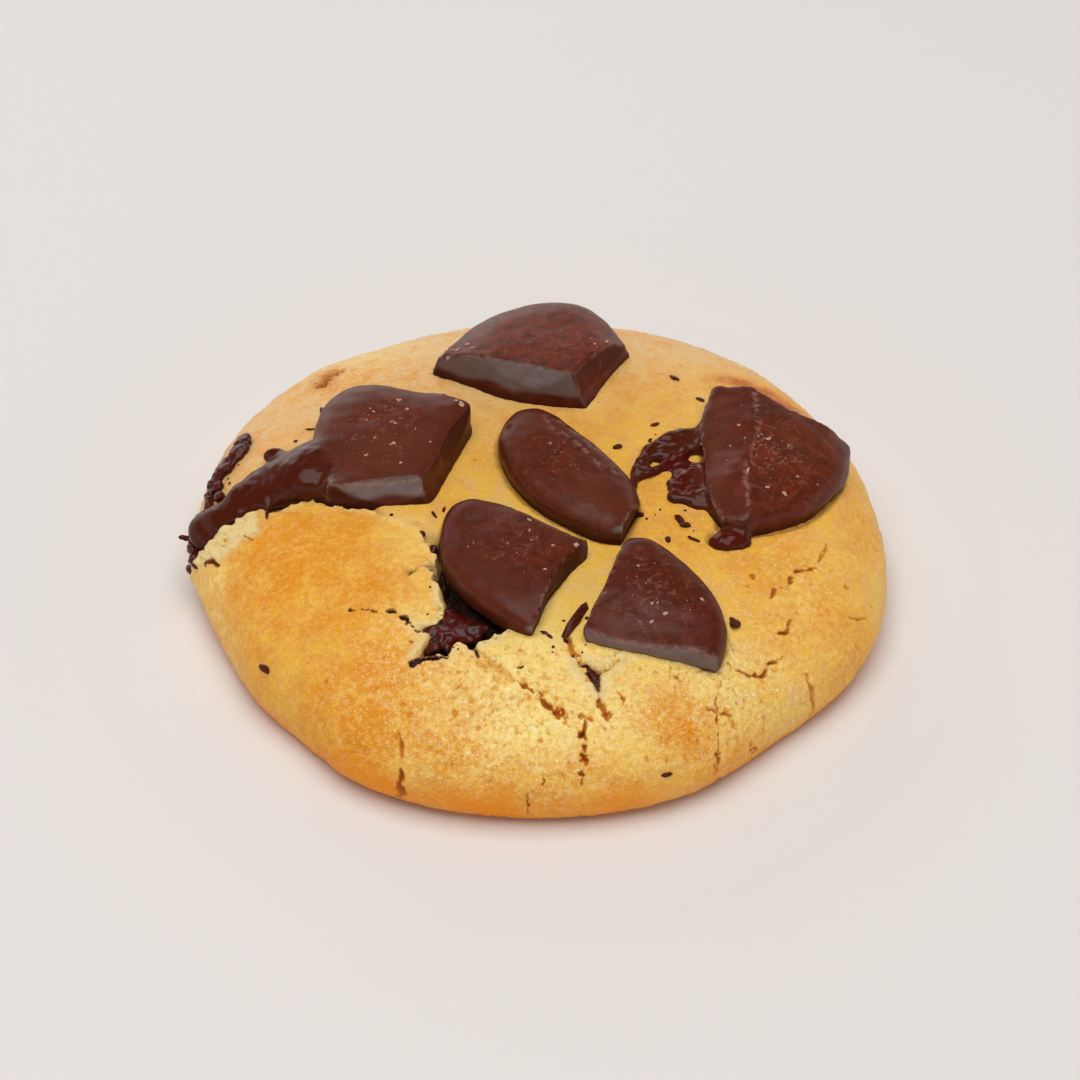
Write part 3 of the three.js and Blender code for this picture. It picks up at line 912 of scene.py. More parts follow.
def tempered_dark_chocolate(tree, place, colours):
    """Dark chocolate, tempered and moulded, then chopped: a satin skin with a grey bloom and
    scuffs, browner in patches partly as painted sheen, greyer on cut faces turned to the front
    partly as painted reflection, painted shade on its sides and a painted highlight along its
    cut edges, and glossy, redder brown where it melted."""
    # Crystals of bloom and hairline scuffs are too fine to show, so they are drawn 0.3 mm wide
    cloud, streak, grain = noise_patterns(
        tree, place, (1.9, 4.0, 0.3), (0.9, 3.0, 0.8), (0.3, 2.0, 0.0))
    base = lay_colours(tree, tuple(colours.chocolate), (
        (colours.reddish, "ruddy", cloud, (0.4, 0.62), (0.1, 0.9)),
        (colours.side, None, streak, (0.54, 0.36), (0, 0.4)),
        # Browner patches: partly bloom, partly painted sheen
        (colours.bloom_and_sheen, "bloom_and_sheen_cover", streak, (0.62, 0.42), (0, 0.5)),
        # Grey on the cut faces turned to the front: partly the cut's own grey, partly painted reflection
        (colours.cut, "cut", cloud, (0.3, 0.6), (0.7, 0.95)),
        # Painted shade on the chunks' upright sides and low down at their feet
        (colours.side, "side", None, None, (0, 0.8)),
        # Pale line along the knife's edges: partly scuffing, partly painted highlight
        (colours.scuff, "edge_scuff_and_highlight", streak, (0.42, 0.6), (0.0, 0.35)),
        (colours.melted, "melt", None, None, (0, 0.5)),
        (colours.cherry, "cherry", cloud, (0.4, 0.6), (0.3, 1.0)),
        (colours.worn, "scuff", streak, (0.54, 0.66), (0, 0.55)),
        (colours.scuff, "scuff", grain, (0.64, 0.76), (0, 0.5)),
    ))
    rough = add_node(tree, "ShaderNodeMapRange", {
        "Value": streak, "From Min": 0.3, "From Max": 0.7, "To Min": 0.28, "To Max": 0.42,
    }).outputs[0]
    first, second = 2, 3        # a mix node's two number inputs
    for mask, roughness in (("side", 0.6), ("melt", 0.18)):
        amount = add_node(tree, "ShaderNodeAttribute", attribute_name=mask).outputs["Fac"]
        inputs = {0: amount, first: rough, second: roughness}
        rough = add_node(tree, "ShaderNodeMix", inputs, data_type="FLOAT").outputs[0]
    bump = add_node(tree, "ShaderNodeBump", {"Strength": 0.12, "Distance": 0.15 * MM, "Height": streak})
    return {
        "Base Color": base,
        "Roughness": rough,
        "IOR": 1.5,
        "Specular IOR Level": 0.17,
        "Normal": bump.outputs[0],
    }


def melted_cherry_chocolate(tree, place, colours):
    """Dark chocolate melted with cherry juice: wet, glossy and red where it lies thin."""
    fold = noise_patterns(tree, place, (1.2, 2.0, 0.4))[0]
    base = lay_colours(tree, tuple(colours.melted), (
        (colours.cherry, None, fold, (0.42, 0.62), (0, 1.0)),
    ))
    bump = add_node(tree, "ShaderNodeBump", {"Strength": 0.5, "Distance": 0.25 * MM, "Height": fold})
    return {
        "Base Color": base,
        "Roughness": 0.28,
        "IOR": 1.5,
        "Specular IOR Level": 0.25,
        "Normal": bump.outputs[0],
    }


def dry_cookie_crumb(tree, place, colours):
    """Open crumb of the dough, broken off: pale, dry and matt."""
    grain = noise_patterns(tree, place, (0.5, 2.0, 0.0))[0]
    base = lay_colours(tree, tuple(colours.crumb), (
        (colours.crust, None, grain, (0.42, 0.6), (0, 1.0)),
    ))
    bump = add_node(tree, "ShaderNodeBump", {"Strength": 0.4, "Distance": 0.15 * MM, "Height": grain})
    return {
        "Base Color": base,
        "Roughness": 0.8,
        "IOR": 1.45,
        "Specular IOR Level": 0.3,
        "Normal": bump.outputs[0],
    }


def dry_chocolate_dust(tree, place, colours):
    """Chocolate dust rubbed off by the chunks: pale brown, dry and matt."""
    return {"Base Color": tuple(colours.scuff), "Roughness": 0.7, "IOR": 1.5}


def pale_satin_board(tree, place, colours):
    """Plain satin paper board: pale, even and slightly reflecting."""
    return {"Base Color": tuple(colours.floor), "Roughness": 0.5, "IOR": 1.45}


# --- Dough -----------------------------------------------------------------------


def outline_radius(dough, angle):
    """Distance from the axis to the widest level in the direction of an angle."""
    radius = dough.radius / MM
    for height, count, crest in OUTLINE_WAVES:
        radius = radius + height * np.cos(count * (angle - math.radians(crest)))
    for depth, middle, width in OUTLINE_DENTS:
        off = np.angle(np.exp(1j * (angle - math.radians(middle)))) / math.radians(width)
        radius = radius - depth * np.exp(-off ** 2)
    return radius


def dome_rise(dough, x, y):
    """Rise of the dome over a point, before it falls away to the rim."""
    return dough.rise / MM + sum(
        lift * np.exp(-((x - px) / across) ** 2 - ((y - py) / along) ** 2)
        for px, py, across, along, lift in SWELLS
    )


def dome_height(dough, x, y):
    """Height of the smooth dome over a point."""
    share = np.minimum(1, np.hypot(x, y) / outline_radius(dough, np.arctan2(y, x)))
    return dough.widest_level / MM + dome_rise(dough, x, y) * np.sqrt(1 - share ** dough.power)


def seat(dough, x, y):
    """Place on the smooth dome over a point, in millimetres, and the normal there."""
    reach = 0.2
    slope_x = (dome_height(dough, x + reach, y) - dome_height(dough, x - reach, y)) / (2 * reach)
    slope_y = (dome_height(dough, x, y + reach) - dome_height(dough, x, y - reach)) / (2 * reach)
    return Vector((x, y, dome_height(dough, x, y))), Vector((-slope_x, -slope_y, 1)).normalized()


def disc_grid(count):
    """A square grid bent onto a unit disc: each point's distance from the middle and angle."""
    side = np.linspace(-1, 1, count)
    a, b = np.meshgrid(side, side, indexing="ij")
    wide = np.abs(a) > np.abs(b)
    reach = np.where(wide, a, b)
    turn = np.where(wide, np.pi / 4 * b / a, np.pi / 2 - np.pi / 4 * a / b)
    return np.abs(reach), np.where(reach < 0, turn + np.pi, turn)


def cross_section(dough, place, radius, foot):
    """The skin at places on a line from the top, 0, to the widest level, 1, and the foot, 2:
    its distance from the axis, and its height as shares of the dome's rise and of the height
    of the widest level."""
    top = np.sin(np.minimum(place, 1) * np.pi / 2)
    under = np.sin(np.clip(2 - place, 0, 1) * np.pi / 2)
    r = np.where(place <= 1, radius * top, foot + (radius - foot) * under)
    return r, np.sqrt(1 - top ** dough.power), 1 - np.sqrt(1 - under ** 2)


def dome_points(dough):
    """The dough's smooth skin over a grid, in millimetres, and each point's place on the line
    from the top to the foot, where the points are evenly spaced."""
    places = np.linspace(0, 2, 801)
    r, upper, lower = cross_section(dough, places, dough.radius, dough.foot_radius)
    steps = np.hypot(np.diff(r), np.diff(dough.widest_level * lower + dough.rise * upper))
    along = np.concatenate([[0], np.cumsum(steps)])

    reach, angle = disc_grid(dough.grid)
    place = np.interp(reach, along / along[-1], places)
    r, upper, lower = cross_section(
        dough, place, outline_radius(dough, angle), dough.foot_radius / MM)
    x, y = r * np.cos(angle), r * np.sin(angle)
    z = dough.widest_level / MM * lower + dome_rise(dough, x, y) * upper
    return np.stack([x, y, z], axis=-1), place


def grid_normals(points):
    """Outward normals of a grid of points."""
    normals = np.cross(np.gradient(points, axis=0), np.gradient(points, axis=1))
    normals /= np.maximum(np.linalg.norm(normals, axis=-1, keepdims=True), 1e-12)
    middle = len(points) // 2
    return normals * np.sign(normals[middle, middle, 2])


def deepen(masks, name, values, near=...):
    """Raises a mask to values where they are higher, everywhere or over the points near by."""
    masks[name][near] = np.maximum(masks[name][near], values)


def crack_relief(points, x, y, relief, masks):
    """Opens the cracks: each is a V between low lips, whose width wavers and breaks up along
    its length."""
    margin = 4
    wander = [
        0.45 * waves(points, 1.5, seed) + 0.2 * waves(points, 0.6, seed + 2) for seed in (11, 12)
    ]
    breaks = waves(points, 1.1, 15)
    for line, width, depth, broken, darkness in CRACKS:
        low = np.min(line, axis=0) - margin
        high = np.max(line, axis=0) + margin
        near = (x > low[0]) & (x < high[0]) & (y > low[1]) & (y < high[1])
        away, index, _ = near_line(x[near] + wander[0][near], y[near] + wander[1][near], line)
        ends = np.minimum(index, len(line) - 1 - index)
        taper = np.sqrt(np.clip(ends / 0.6 + 0.25, 0, 1))
        gaps = smooth_step(-0.5, 0.35, breaks[near] + 0.5 * (1 - 2 * broken))
        half = 0.5 * width * taper * gaps * (0.85 + 0.5 * breaks[near])
        opened = np.clip(1 - away / np.maximum(half, 1e-3), 0, 1)
        relief[near] -= 0.8 * depth * smooth_step(0, 0.8, opened) * (2 * half / width)
        relief[near] += 0.1 * depth * np.exp(-((away - width) / (0.7 * width)) ** 2) * taper
        deepen(masks, "cavity", smooth_step(0, 0.2, opened) * min(1, 2.2 * darkness), near)
        deepen(masks, "crack", smooth_step(0.15, 0.6, opened) * min(1, 1.6 * darkness), near)
        # Painted shade deep inside the darker cracks
        deepen(masks, "deep_shade", smooth_step(0, 0.4, opened) * max(0, (darkness - 0.35) / 0.65), near)


def pit_relief(x, y, wobble, relief, masks, draw):
    """Sinks the single pits and the chance ones, with ragged outlines."""
    spots = [(px, py, size, depth, 1.0, "crack") for px, py, size, depth in PITS]
    for px, py, across, along, count, low, high in PIT_PATCHES:
        for _ in range(count):
            size = draw.uniform(low, high) * draw.uniform(0.6, 1)
            place = (draw.gauss(px, across / 2), draw.gauss(py, along / 2))
            spots.append((*place, size, 0.4 * size, draw.uniform(0.4, 1.0), "cavity"))
    for px, py, size, depth, darkness, mask in spots:
        stretch, turn = draw.uniform(0.4, 1), draw.uniform(0, math.pi)
        near = (np.abs(x - px) < 2 * size) & (np.abs(y - py) < 2 * size)
        dx = x[near] - px + 0.7 * size * wobble[0][near]
        dy = y[near] - py + 0.7 * size * wobble[1][near]
        along = dx * math.cos(turn) + dy * math.sin(turn)
        across = (dy * math.cos(turn) - dx * math.sin(turn)) / stretch
        sunk = smooth_step(0, 0.8, np.clip(1 - np.hypot(along, across) / size, 0, 1))
        relief[near] -= depth * sunk
        deepen(masks, mask, darkness * sunk, near)
        deepen(masks, "cavity", darkness * smooth_step(0, 0.5, sunk), near)
        # Deep pits get painted shade
        if depth > 1:
            deepen(masks, "deep_shade", smooth_step(0.4, 0.9, sunk), near)


def tear_relief(x, y, wobble, relief, masks):
    """Lifts the crust's torn edge and drops the dough behind it."""
    line = [(px, py) for px, py, _, _ in TORN_EDGE]
    order = np.arange(len(TORN_EDGE))
    away, index, side = near_line(x + 0.45 * wobble[0], y + 0.45 * wobble[1], line)
    drop = np.interp(index, order, [row[2] for row in TORN_EDGE])
    reach = np.interp(index, order, [row[3] for row in TORN_EDGE])
    kept = smooth_step(len(line) - 1.01, len(line) - 2.5, index)
    behind = side > 0
    lip = (0.5 + 0.3 * wobble[2]) * np.exp(-away / 2.6)
    sunk = -drop * smooth_step(0, 0.45, away) * np.exp(-((away / reach) ** 2))
    relief += kept * np.where(behind, lip * np.exp(-away / 0.25) + sunk, lip)
    bare = np.where(behind, 0.9 * np.exp(-away / 0.9), 0.8 * np.exp(-away / 0.3))
    deepen(masks, "crumb", kept * bare)
    # Painted shade in the gap under the lifted edge
    dark = kept * behind * smooth_step(1.5, 2.6, drop) * smooth_step(0.15, 0.5, away)
    deepen(masks, "deep_shade", dark * smooth_step(2.6, 1.8, away))


def hole_relief(x, y, wobble, relief, masks):
    """Sinks the holes over the melted chocolate, with pale crumb for their walls."""
    for sunk, outline in HOLES:
        depth = depth_inside(x + 0.35 * wobble[0], y + 0.35 * wobble[1], outline)
        relief -= sunk * smooth_step(-0.15, 1.1, depth)
        deepen(masks, "crumb", 0.9 * np.exp(-(((depth + 0.3) / 0.6) ** 2)))
        # Painted shade inside the holes
        deepen(masks, "deep_shade", smooth_step(0.15, 0.7, depth))


def is_inside(tree, place):
    """Whether a place is inside a closed mesh: a ray from it leaves an odd number of times."""
    inside = False
    found = tree.ray_cast(place, Vector((0, 0, 1)))[0]
    while found:
        inside = not inside
        found = tree.ray_cast(found + Vector((0, 0, 0.001 * MM)), Vector((0, 0, 1)))[0]
    return inside


def chunk_clearance(points):
    """Distance from each point to the nearest chunk, up to the width of the shore, and
    negative inside a chunk. More than 1 mm inside, where no dough shows, the sign is left."""
    tree = tree_of(*[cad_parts[name].data for name in (*CHUNKS, "melt_front")])
    clearance = np.full(len(points), SHORE)
    for i, point in enumerate(points.tolist()):
        place = Vector(point) * MM
        found, _, _, distance = tree.find_nearest(place, SHORE * MM)
        if found:
            hidden = distance < MM and is_inside(tree, place)
            clearance[i] = distance / MM * (-1 if hidden else 1)
    return clearance


def coarse_relief(points, x, y, wobble, masks):
    """Swellings, the torn crust and its shelf of crumb, the holes, the cracks and the pits."""
    relief = 0.3 * waves(points, 9, 1) + 0.16 * waves(points, 3.0, 2)
    tear_relief(x, y, wobble, relief, masks)
    shelf = depth_inside(x, y, CRUMB_SHELF)
    relief += smooth_step(-0.1, 0.35, shelf) * (0.45 + 0.3 * wobble[2])
    deepen(masks, "crumb", smooth_step(-0.3, 0.5, shelf + 0.4 * wobble[2]))
    hole_relief(x, y, wobble, relief, masks)
    crack_relief(points, x, y, relief, masks)
    ragged = [waves(points, 0.5, seed) for seed in (16, 17)]
    pit_relief(x, y, ragged, relief, masks, random.Random(7))
    return relief


def bank_relief(x, y, clearance, wobble):
    """Draws the dough up beside the chunks, most of all at the right, and presses it down
    under them."""
    bank = 0.3 * smooth_step(SHORE, 0.6, clearance) * smooth_step(-10, 6, x)
    bank = np.maximum(bank, cover(x, y, BANKS)) * smooth_step(-0.8, 0.3, clearance)
    return bank - 0.25 * smooth_step(0.3, -0.5, clearance + 0.2 * wobble[1])


def dough_mesh(dough):
    """The dough's whole skin, with its relief and the masks that its material reads."""
    points, place = dome_points(dough)
    x, y = points[..., 0], points[..., 1]
    masks = {name: np.zeros_like(x) for name in ("crumb", "crack", "deep_shade", "cavity")}
    wobble = [waves(points, 1.3, seed) for seed in (3, 4, 5)]
    relief = coarse_relief(points, x, y, wobble, masks)

    # Coarse relief ends below the widest level and fine relief near the foot
    top = smooth_step(1.25, 0.95, place)
    low_edge = smooth_step(1.95, 1.6, place)
    rim_waves = 0.12 * (1 - top) * waves(points, 4, 6)
    moved = points + grid_normals(points) * (relief * top + rim_waves)[..., None]
    clearance = chunk_clearance(moved.reshape(-1, 3)).reshape(x.shape)
    bank = bank_relief(x, y, clearance, wobble)
    crazed = cover(x, y, CRAZED_PATCHES)
    grainy = 0.06 + 0.05 * crazed + 0.17 * np.minimum(1, masks["crumb"])
    fine = grainy * (1.2 * (pebbles(points, 1.1, 8) - 0.5) + waves(points, 0.8, 9))
    moved = moved + grid_normals(moved) * (bank * top + fine * low_edge)[..., None]
    moved[..., 2] = np.maximum(moved[..., 2], 0)

    deepen(masks, "cavity", 0.7 * crazed * smooth_step(-0.8, -1.3, fine / np.maximum(grainy, 1e-6)))
    low = moved[..., 2] + 1.4 * waves(points, 6, 10)
    browned = smooth_step(8.5, 3.5, low) * cover(x, y, BROWNED_RIM)
    # Darker at the chunks' feet: chocolate stain and painted contact shade
    chunk_stain_and_shade = 0.4 * smooth_step(0.15, -0.35, clearance + 0.25 * wobble[0])
    masks.update({
        "crazed": np.maximum(crazed, masks["crumb"]),
        "stain_and_contact_shade": np.maximum(chunk_stain_and_shade, cover(x, y, RUBBED_PATCHES)),
        # Paler towards the back: partly the crust's tan, partly painted sheen
        "back_tan_and_sheen": 0.85 * smooth_step(2, 30, y - 0.35 * x + 3 * wobble[1]),
        "pale": cover(x, y, PALE_PATCHES),
        "toast": cover(x, y, TOASTED_PATCHES),
        "burnt": cover(x, y, BURNT_PATCHES),
        "freckled": np.clip(0.2 + cover(x, y, FRECKLED_PATCHES), 0, 1),
        "rim": np.maximum(browned, smooth_step(4.0, 0.5, low)),
    })
    mesh = close_underside(moved, masks)
    return with_modifier(mesh, "DECIMATE", ratio=dough.triangles / triangles_in(mesh))


def close_underside(points, masks):
    """Turns the grid into a closed mesh with a flat underside of a few rings."""
    count = len(points)
    at = np.arange(count * count).reshape(count, count)
    quads = np.stack([at[:-1, :-1], at[1:, :-1], at[1:, 1:], at[:-1, 1:]], axis=-1).reshape(-1, 4)
    ring = np.concatenate([at[:-1, 0], at[-1, :-1], at[:0:-1, -1], at[0, :0:-1]])
    flat = points.reshape(-1, 3)
    rings = [ring]
    extra = []
    total = len(flat)
    for share in (0.93, 0.8, 0.6, 0.35, 0.12):
        extra.append(flat[ring] * (share, share, 0))
        rings.append(np.arange(total, total + len(ring)))
        total += len(ring)
    extra.append(np.zeros((1, 3)))
    faces = quads.tolist()
    for outer, inner in zip(rings, rings[1:]):
        faces += np.stack([outer, inner, np.roll(inner, -1), np.roll(outer, -1)], axis=-1).tolist()
    last = rings[-1]
    faces += np.stack([last, np.full(len(last), total), np.roll(last, -1)], axis=-1).tolist()
    mesh = make_mesh("dough_skin", np.concatenate([flat, *extra]), faces)
    spare = total + 1 - len(flat)
    for name, values in masks.items():
        under = 1.0 if name == "rim" else 0.0
        write_mask(mesh, name, np.concatenate([values.ravel(), np.full(spare, under)]))
    return mesh


# --- Chunks ----------------------------------------------------------------------


def knife_cuts(mesh):
    """The faces of broad flat cuts: those that share a direction over a wide area, other
    than the foot and a flat top that lies along it."""
    planes = []
    for face in mesh.polygons:
        for plane in planes:
            if face.normal.dot(plane[0]) > SAME_DIRECTION:
                break
        else:
            plane = [face.normal.copy(), 0.0, []]
            planes.append(plane)
        plane[1] += face.area / MM ** 2
        plane[2].append(face.index)
    foot = min(planes, key=lambda plane: plane[0].z * plane[1])[0]
    return {
        index for normal, area, faces in planes for index in faces
        if area > CUT_AREA and abs(normal.dot(foot)) < ALONG_THE_FOOT
    }


def crisp_edges(mesh, cuts):
    """Points along the outward edges that a knife left, in metres."""
    sides = {}
    for face in mesh.polygons:
        for key in face.edge_keys:
            sides.setdefault(key, []).append(face)
    places = []
    for (a, b), pair in sides.items():
        if not any(face.index in cuts for face in pair):
            continue
        if pair[0].normal.angle(pair[1].normal, 0) < CUT_EDGE_TURN:
            continue
        if (pair[1].center - pair[0].center).dot(pair[0].normal) > 0:
            continue
        start, end = mesh.vertices[a].co, mesh.vertices[b].co
        steps = max(1, round((end - start).length / (EDGE_STEP * MM)))
        places += [start.lerp(end, k / steps) for k in range(steps + 1)]
    return places


def knife_marks(solid, points):
    """Whether each point is on a face that a knife left, 1 or 0, and how far it is from the
    edge of one, in millimetres."""
    cuts = knife_cuts(solid)
    edges = crisp_edges(solid, cuts)
    crisp = KDTree(len(edges))
    for i, place in enumerate(edges):
        crisp.insert(place, i)
    crisp.balance()
    tree = tree_of(solid)
    cut = np.zeros(len(points))
    to_edge = np.zeros(len(points))
    for i, point in enumerate(points.tolist()):
        place = Vector(point) * MM
        cut[i] = tree.find_nearest(place)[2] in cuts
        to_edge[i] = crisp.find(place)[2] / MM
    return cut, to_edge


def lobed_mesh(dough, lobes, grain, solid=None):
    """Rounded lobes lying on the dome, run together with each other and with a solid. A lobe
    is its place, how far its middle stands above the dome, its half-lengths and its turn."""
    work = bmesh.new()
    if solid:
        work.from_mesh(solid)
    for x, y, lift, long, wide, high, turn in lobes:
        place, normal = seat(dough, x, y)
        upright = Vector((0, 0, 1)).rotation_difference(normal).to_matrix().to_4x4()
        matrix = Matrix.Translation((place + normal * lift) * MM) @ upright
        matrix @= Matrix.Rotation(math.radians(turn), 4, "Z")
        matrix @= Matrix.Diagonal((long * MM, wide * MM, high * MM, 1))
        bmesh.ops.create_icosphere(work, subdivisions=3, radius=1, matrix=matrix)
    mesh = bpy.data.meshes.new("lobes")
    work.to_mesh(mesh)
    work.free()
    return with_modifier(mesh, "REMESH", mode="VOXEL", voxel_size=grain)


def warp(points, x, y, above, warps):
    """Pushes a chunk out of its plain form. Only its top goes up or down, not its foot."""
    for px, py, width, right, back, up in warps:
        share = np.exp(-((x - px) ** 2 + (y - py) ** 2) / width ** 2)
        shift = np.stack([
            np.full_like(x, right), np.full_like(x, back), up * np.clip(above / 3, 0, 1)
        ], axis=-1)
        points += share[:, None] * shift


def chip(points, dough, chips):
    """Presses round hollows into a chunk. Returns how surely each point is in a hollow, and
    how surely it is in or beside one."""
    inside = np.zeros(len(points))
    beside = np.zeros(len(points))
    for px, py, lift, azimuth, tilt, radius, depth in chips:
        turn, rise = math.radians(azimuth), math.radians(tilt)
        level = math.cos(rise)
        facing = np.array([math.cos(turn) * level, math.sin(turn) * level, math.sin(rise)])
        out = points - (px, py, dome_height(dough, px, py) + lift) - facing * (radius - depth)
        away = np.linalg.norm(out, axis=1)
        points += out * (np.maximum(0, radius - away) / np.maximum(away, 0.001))[:, None]
        inside = np.maximum(inside, smooth_step(0, 0.1 * depth, radius - away))
        beside = np.maximum(beside, smooth_step(-0.6, 0, radius - away))
    return inside, beside


def spread_foot(points, above, melt, spread):
    """Spreads a chunk, or draws it in, where it meets the dough, in a wavering band."""
    foot = smooth_step(1.9, 0.3, above + 0.5 * waves(points, 2.4, 27)) * (1 - melt)
    inward = points[:, :2].mean(axis=0) - points[:, :2]
    inward /= np.maximum(np.linalg.norm(inward, axis=1, keepdims=True), 1)
    points[:, :2] -= inward * (spread * foot)[:, None]


def chunk_relief(points, x, y, cut, to_edge, melt, lumpy):
    """Fine relief: a lumpy skin, the drag of the knife, chipped edges and melted flow."""
    rough = 0.06 + 0.1 * cover(x, y, ROUGH_PATCHES)
    lumps = 0.22 * waves(points, 6.5, 20) + 0.03 * waves(points, 3.0, 28)
    lumps += rough * waves(points, 1.8, 21)
    knife = 0.05 * waves(points * (0.3, 0.3, 1.6), 1.0, 24) * cut
    chips = -0.16 * np.exp(-((to_edge / 0.5) ** 2)) * smooth_step(0, 0.5, waves(points, 1.2, 25))
    flow = 0.22 * waves(points * (0.5, 1, 1), 2.6, 22)
    flow += (0.08 + 0.14 * lumpy) * waves(points, 0.9, 23)
    return (1 - melt) * (lumps + knife + chips) + melt * flow


def chunk_mesh(node, dough, chocolate):
    """A chunk with its moulded rim rounded, its cut edges crisp and its melted part fluid."""
    solid = with_modifier(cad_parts[node].data.copy(), "WELD", merge_threshold=0.001 * MM)
    mesh = lobed_mesh(dough, MELTED_LOBES.get(node, ()), chocolate.grain, solid)
    points = read_points(mesh)
    links = edges_of(mesh)
    cut, to_edge = knife_marks(solid, points)
    x, y = points[:, 0], points[:, 1]
    melt = smooth_step(0.15, 0.6, cover(x, y, MELTED_PATCHES))
    cherry = smooth_step(0.2, 0.6, cover(x, y, CHERRY_PATCHES))
    lumpy = smooth_step(0.2, 0.6, cover(x, y, LUMPY_PATCHES))

    soft = smooth_step(0.1, 1.0, to_edge) * (1 - 0.8 * lumpy)
    points = relax(points, links, np.maximum(0.12, soft), 40)
    warp(points, x, y, points[:, 2] - dome_height(dough, x, y), WARPS[node])
    inside, beside = chip(points, dough, CHIPS[node])
    cut = np.maximum(cut, inside)
    soft = smooth_step(0.2, 1.5, to_edge) * (1 - 0.7 * beside)
    points = relax(points, links, np.maximum(0.2, soft), 6)
    above = points[:, 2] - dome_height(dough, points[:, 0], points[:, 1])
    spread, smear_and_shade_line = FEET[node]
    spread_foot(points, above, melt, spread)
    write_points(mesh, points)

    normals = normals_of(mesh)
    push = chunk_relief(points, x, y, cut, to_edge, melt, lumpy)
    write_points(mesh, points + normals * push[:, None])
    mesh.shade_smooth()

    # Cut faces turned to the front are greyed above a wavering line near the foot: partly the cut's own
    # grey, partly painted reflection. Other upright cut faces, and everything low down by the foot, get
    # painted shade.
    bare = above + 0.5 * waves(points, 3.5, 26) - cover(x, y, SMEAR_AND_SHADE_PATCHES)
    front = smooth_step(-0.6, -0.85, normals[:, 1]) * smooth_step(smear_and_shade_line, smear_and_shade_line + 0.6, bare)
    upright = smooth_step(0.5, 0.1, np.abs(normals[:, 2]))
    cut_grey_and_reflection = (cut * front * (1 - melt))[:, None]
    shaded = np.maximum(upright * cut * (1 - front), 0.7 * smooth_step(1.5, 0.4, above))
    masks = {
        "cut": relax(cut_grey_and_reflection, links, np.ones(len(cut)), 3),
        "side": shaded * (1 - cut * front) * (1 - melt),
        "melt": melt,
        "cherry": cherry,
        # Pale line along the knife's edges: partly scuffing, partly painted highlight
        "edge_scuff_and_highlight": np.exp(-((to_edge / 0.35) ** 2)) * smooth_step(0.5, 1.5, above),
        # Browner patches: partly bloom, partly painted sheen
        "bloom_and_sheen_cover": 0.1 + cover(x, y, BLOOM_AND_SHEEN_PATCHES),
        "ruddy": 0.4 + cover(x, y, RUDDY_PATCHES),
        "scuff": cover(x, y, SCUFFED_PATCHES) * (1 - cut),
    }
    for name, values in masks.items():
        write_mask(mesh, name, values)
    return mesh


def melted_mesh(dough, lobes, grain, lumpiness, solid=None):
    """Melted chocolate on its own, lumpy and fluid."""
    mesh = lobed_mesh(dough, lobes, grain, solid)
    points = relax(read_points(mesh), edges_of(mesh), np.ones(len(mesh.vertices)), 6)
    write_points(mesh, points)
    lumps = waves(points, 1.4, 30) + 0.9 * waves(points, 0.6, 31)
    write_points(mesh, points + normals_of(mesh) * lumpiness * lumps[:, None])
    mesh.shade_smooth()
    return mesh


# --- Loose bits ------------------------------------------------------------------


def loose_mesh(name, bits, unevenness, smooth=False):
    """Many uneven bits as one mesh. A bit is its place, its normal, its half-lengths and its
    turn in degrees."""
    work = bmesh.new()
    bmesh.ops.create_icosphere(work, subdivisions=2, radius=1)
    ball = np.array([v.co[:] for v in work.verts])
    shell = [[v.index for v in face.verts] for face in work.faces]
    work.free()
    points = []
    faces = []
    for i, (place, normal, sizes, turn) in enumerate(bits):
        uneven = 1 + unevenness * waves(ball, 0.9, 60 + i)
        upright = Vector((0, 0, 1)).rotation_difference(normal).to_matrix()
        turned = upright @ Matrix.Rotation(math.radians(turn), 3, "Z")
        shape = (ball * uneven[:, None] * sizes) @ np.array(turned).T
        faces += [[index + len(points) for index in face] for face in shell]
        points += (shape + place).tolist()
    mesh = make_mesh(name, points, faces)
    if not smooth:
        mesh.shade_flat()
    return mesh


def lay_flat(tree, places, thickness):
    """Flat bits at set places, sunk a little; thickness is a share of the width."""
    bits = []
    for x, y, length, width, turn in places:
        place, normal = drop_onto(tree, x, y)
        if place is None:
            raise ValueError(f"Nothing lies under {x}, {y}")
        thick = width * thickness
        bits.append((place + normal * 0.4 * thick, normal, (length / 2, width / 2, thick), turn))
    return bits


def scatter(tree, patches, draw, proud):
    """Bits let fall at random over patches. How proud they lie is a share of their size."""
    bits = []
    for px, py, across, along, count, low, high in patches:
        for _ in range(count):
            place, normal = drop_onto(tree, draw.gauss(px, across / 2), draw.gauss(py, along / 2))
            size = (low + (high - low) * draw.random() ** 2) / 2
            sizes = (size, size * draw.uniform(0.6, 1), size * draw.uniform(0.45, 0.8))
            if place:
                bits.append((place + normal * size * proud, normal, sizes, draw.uniform(0, 360)))
    return bits


# --- Light and camera ------------------------------------------------------------


def aim(thing, place, target):
    """Puts a lamp or the camera at a place and turns it to a target, both in millimetres."""
    place, target = Vector(place) * MM, Vector(target) * MM
    thing.location = place
    thing.rotation_mode = "QUATERNION"
    thing.rotation_quaternion = (place - target).to_track_quat("Z", "Y")


